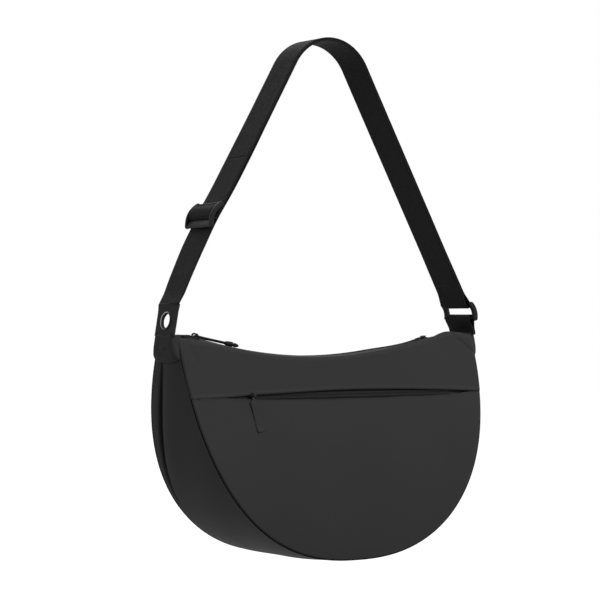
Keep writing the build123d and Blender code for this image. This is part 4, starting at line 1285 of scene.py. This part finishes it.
# ---------------------------------------------------------------- inside: linings and bound seams
# The lining is a loose sack of plain grey polyester hung from the mouth's facings; the pocket's is a
# flat one behind the front. The seams' raw edges are bound with folded grosgrain tape.
def lining_recipe(at):
    """Plain weave seen close: two crossed waves, a soft mottle from pressing."""
    x, y, z = at.split()
    weave = (x * 5200.0 + y * 5200.0).wave() * (z * 5200.0).wave()
    press = at.noise(26.0, 3.0)
    colour = (weave * 0.5 + press * 0.5).blend((0.050, 0.050, 0.052), (0.092, 0.092, 0.094))
    return colour, 0.62 + press * 0.12, at.bump(weave, 0.25, 0.00012)


lining_cloth = finish_of("lining_cloth", lining_recipe, IOR=1.45, Specular_IOR_Level=0.2)


def sack_points(short=7.0):
    """Sack: squared loops that open from the mouth's width to the shell's, and close along the bottom."""
    a = np.linspace(0, 2 * np.pi, 181)[None, :-1]
    w = np.sin(np.linspace(0, np.pi / 2, 70))[:, None]
    cx, cy = squared(a, 0.45, 0.7)
    top = zip_line(150 * cx) - 2.6
    z = top + (short - DROP - top) * w
    open_out = ease(w / 0.14)
    x = np.clip(half_width(z * DROP / (DROP - short)) - 8, 1.0, None) * (0.93 + 0.07 * open_out) * cx
    deep = half_depth(z) - np.where(cy < 0, 9.5, 5.5)
    y = (7.4 + (deep - 7.4) * open_out) * cy
    y = y + 1.1 * np.sin(x / 21 + z / 33) * open_out * (1 - w ** 8)
    return xyz(x, y, z)


def pouch_points():
    """Flat pouch close behind the front: squared loops 4 mm deep, closing at the foot."""
    a = np.linspace(0, 2 * np.pi, 141)[None, :-1]
    w = np.sin(np.linspace(0, np.pi / 2, 60))[:, None]
    cx, cy = squared(a, 0.25, 0.9)
    z = -47.0 - (DROP - 12.0 - 47.0) * w
    x = np.clip(half_width(z * DROP / (DROP - 11.5)) - 12, 1.0, None) * cx
    y = 6.4 - half_depth(z) + (1.9 * np.clip(1.02 - w ** 6, 0, 1)) * cy
    return xyz(x, y, z)


for node, points, flat, hung_on in (("main_lining", sack_points(), (0.45, 0.42), "front_seam_binding"),
                                    ("pocket_lining", pouch_points(), (0.30, 0.30), "pocket_zip_tape_upper")):
    cut_cloth(node, points[:, ::-1], lining_cloth, 0.4, ring=(False, True))


def binding_recipe(at):
    """Grosgrain: fine ribs across the tape's run."""
    _, v = at.cloth_uv()
    rib = (v * 7.5).wave()
    fuzz = at.noise(2600.0, 2.0)
    return ((rib * 0.6 + fuzz * 0.4).blend((0.010, 0.010, 0.010), (0.024, 0.024, 0.024)), 0.7 + fuzz * 0.1,
            at.bump(rib, 0.4, 0.00015))


grosgrain = finish_of("binding_grosgrain", binding_recipe, IOR=1.45, Specular_IOR_Level=0.12)

bx, bz, nx, nz = outline(even(340, 15.0)[:, None])
cu, cv = squared(np.linspace(0, 2 * np.pi, 25)[None, :-1], 0.4, 0.8)
BIND_IN, BIND_HALF = 5.0, 2.8
inset = BIND_IN + BIND_HALF * cu
run = run_of(bx[:, 0], bz[:, 0])[:, None]
for sign, node in ((-1, "front_seam_binding"), (1, "back_seam_binding")):
    p = xyz(bx - nx * inset, sign * (half_depth(bz) - 7.6) + 0.55 * cv, bz - nz * inset)
    tape = surface(node + "_tape", p if sign > 0 else p[:, ::-1], grosgrain, ring=(False, True),
                   uv=xyz(BIND_HALF * cu, run))
    seat(tape, "bag", node)
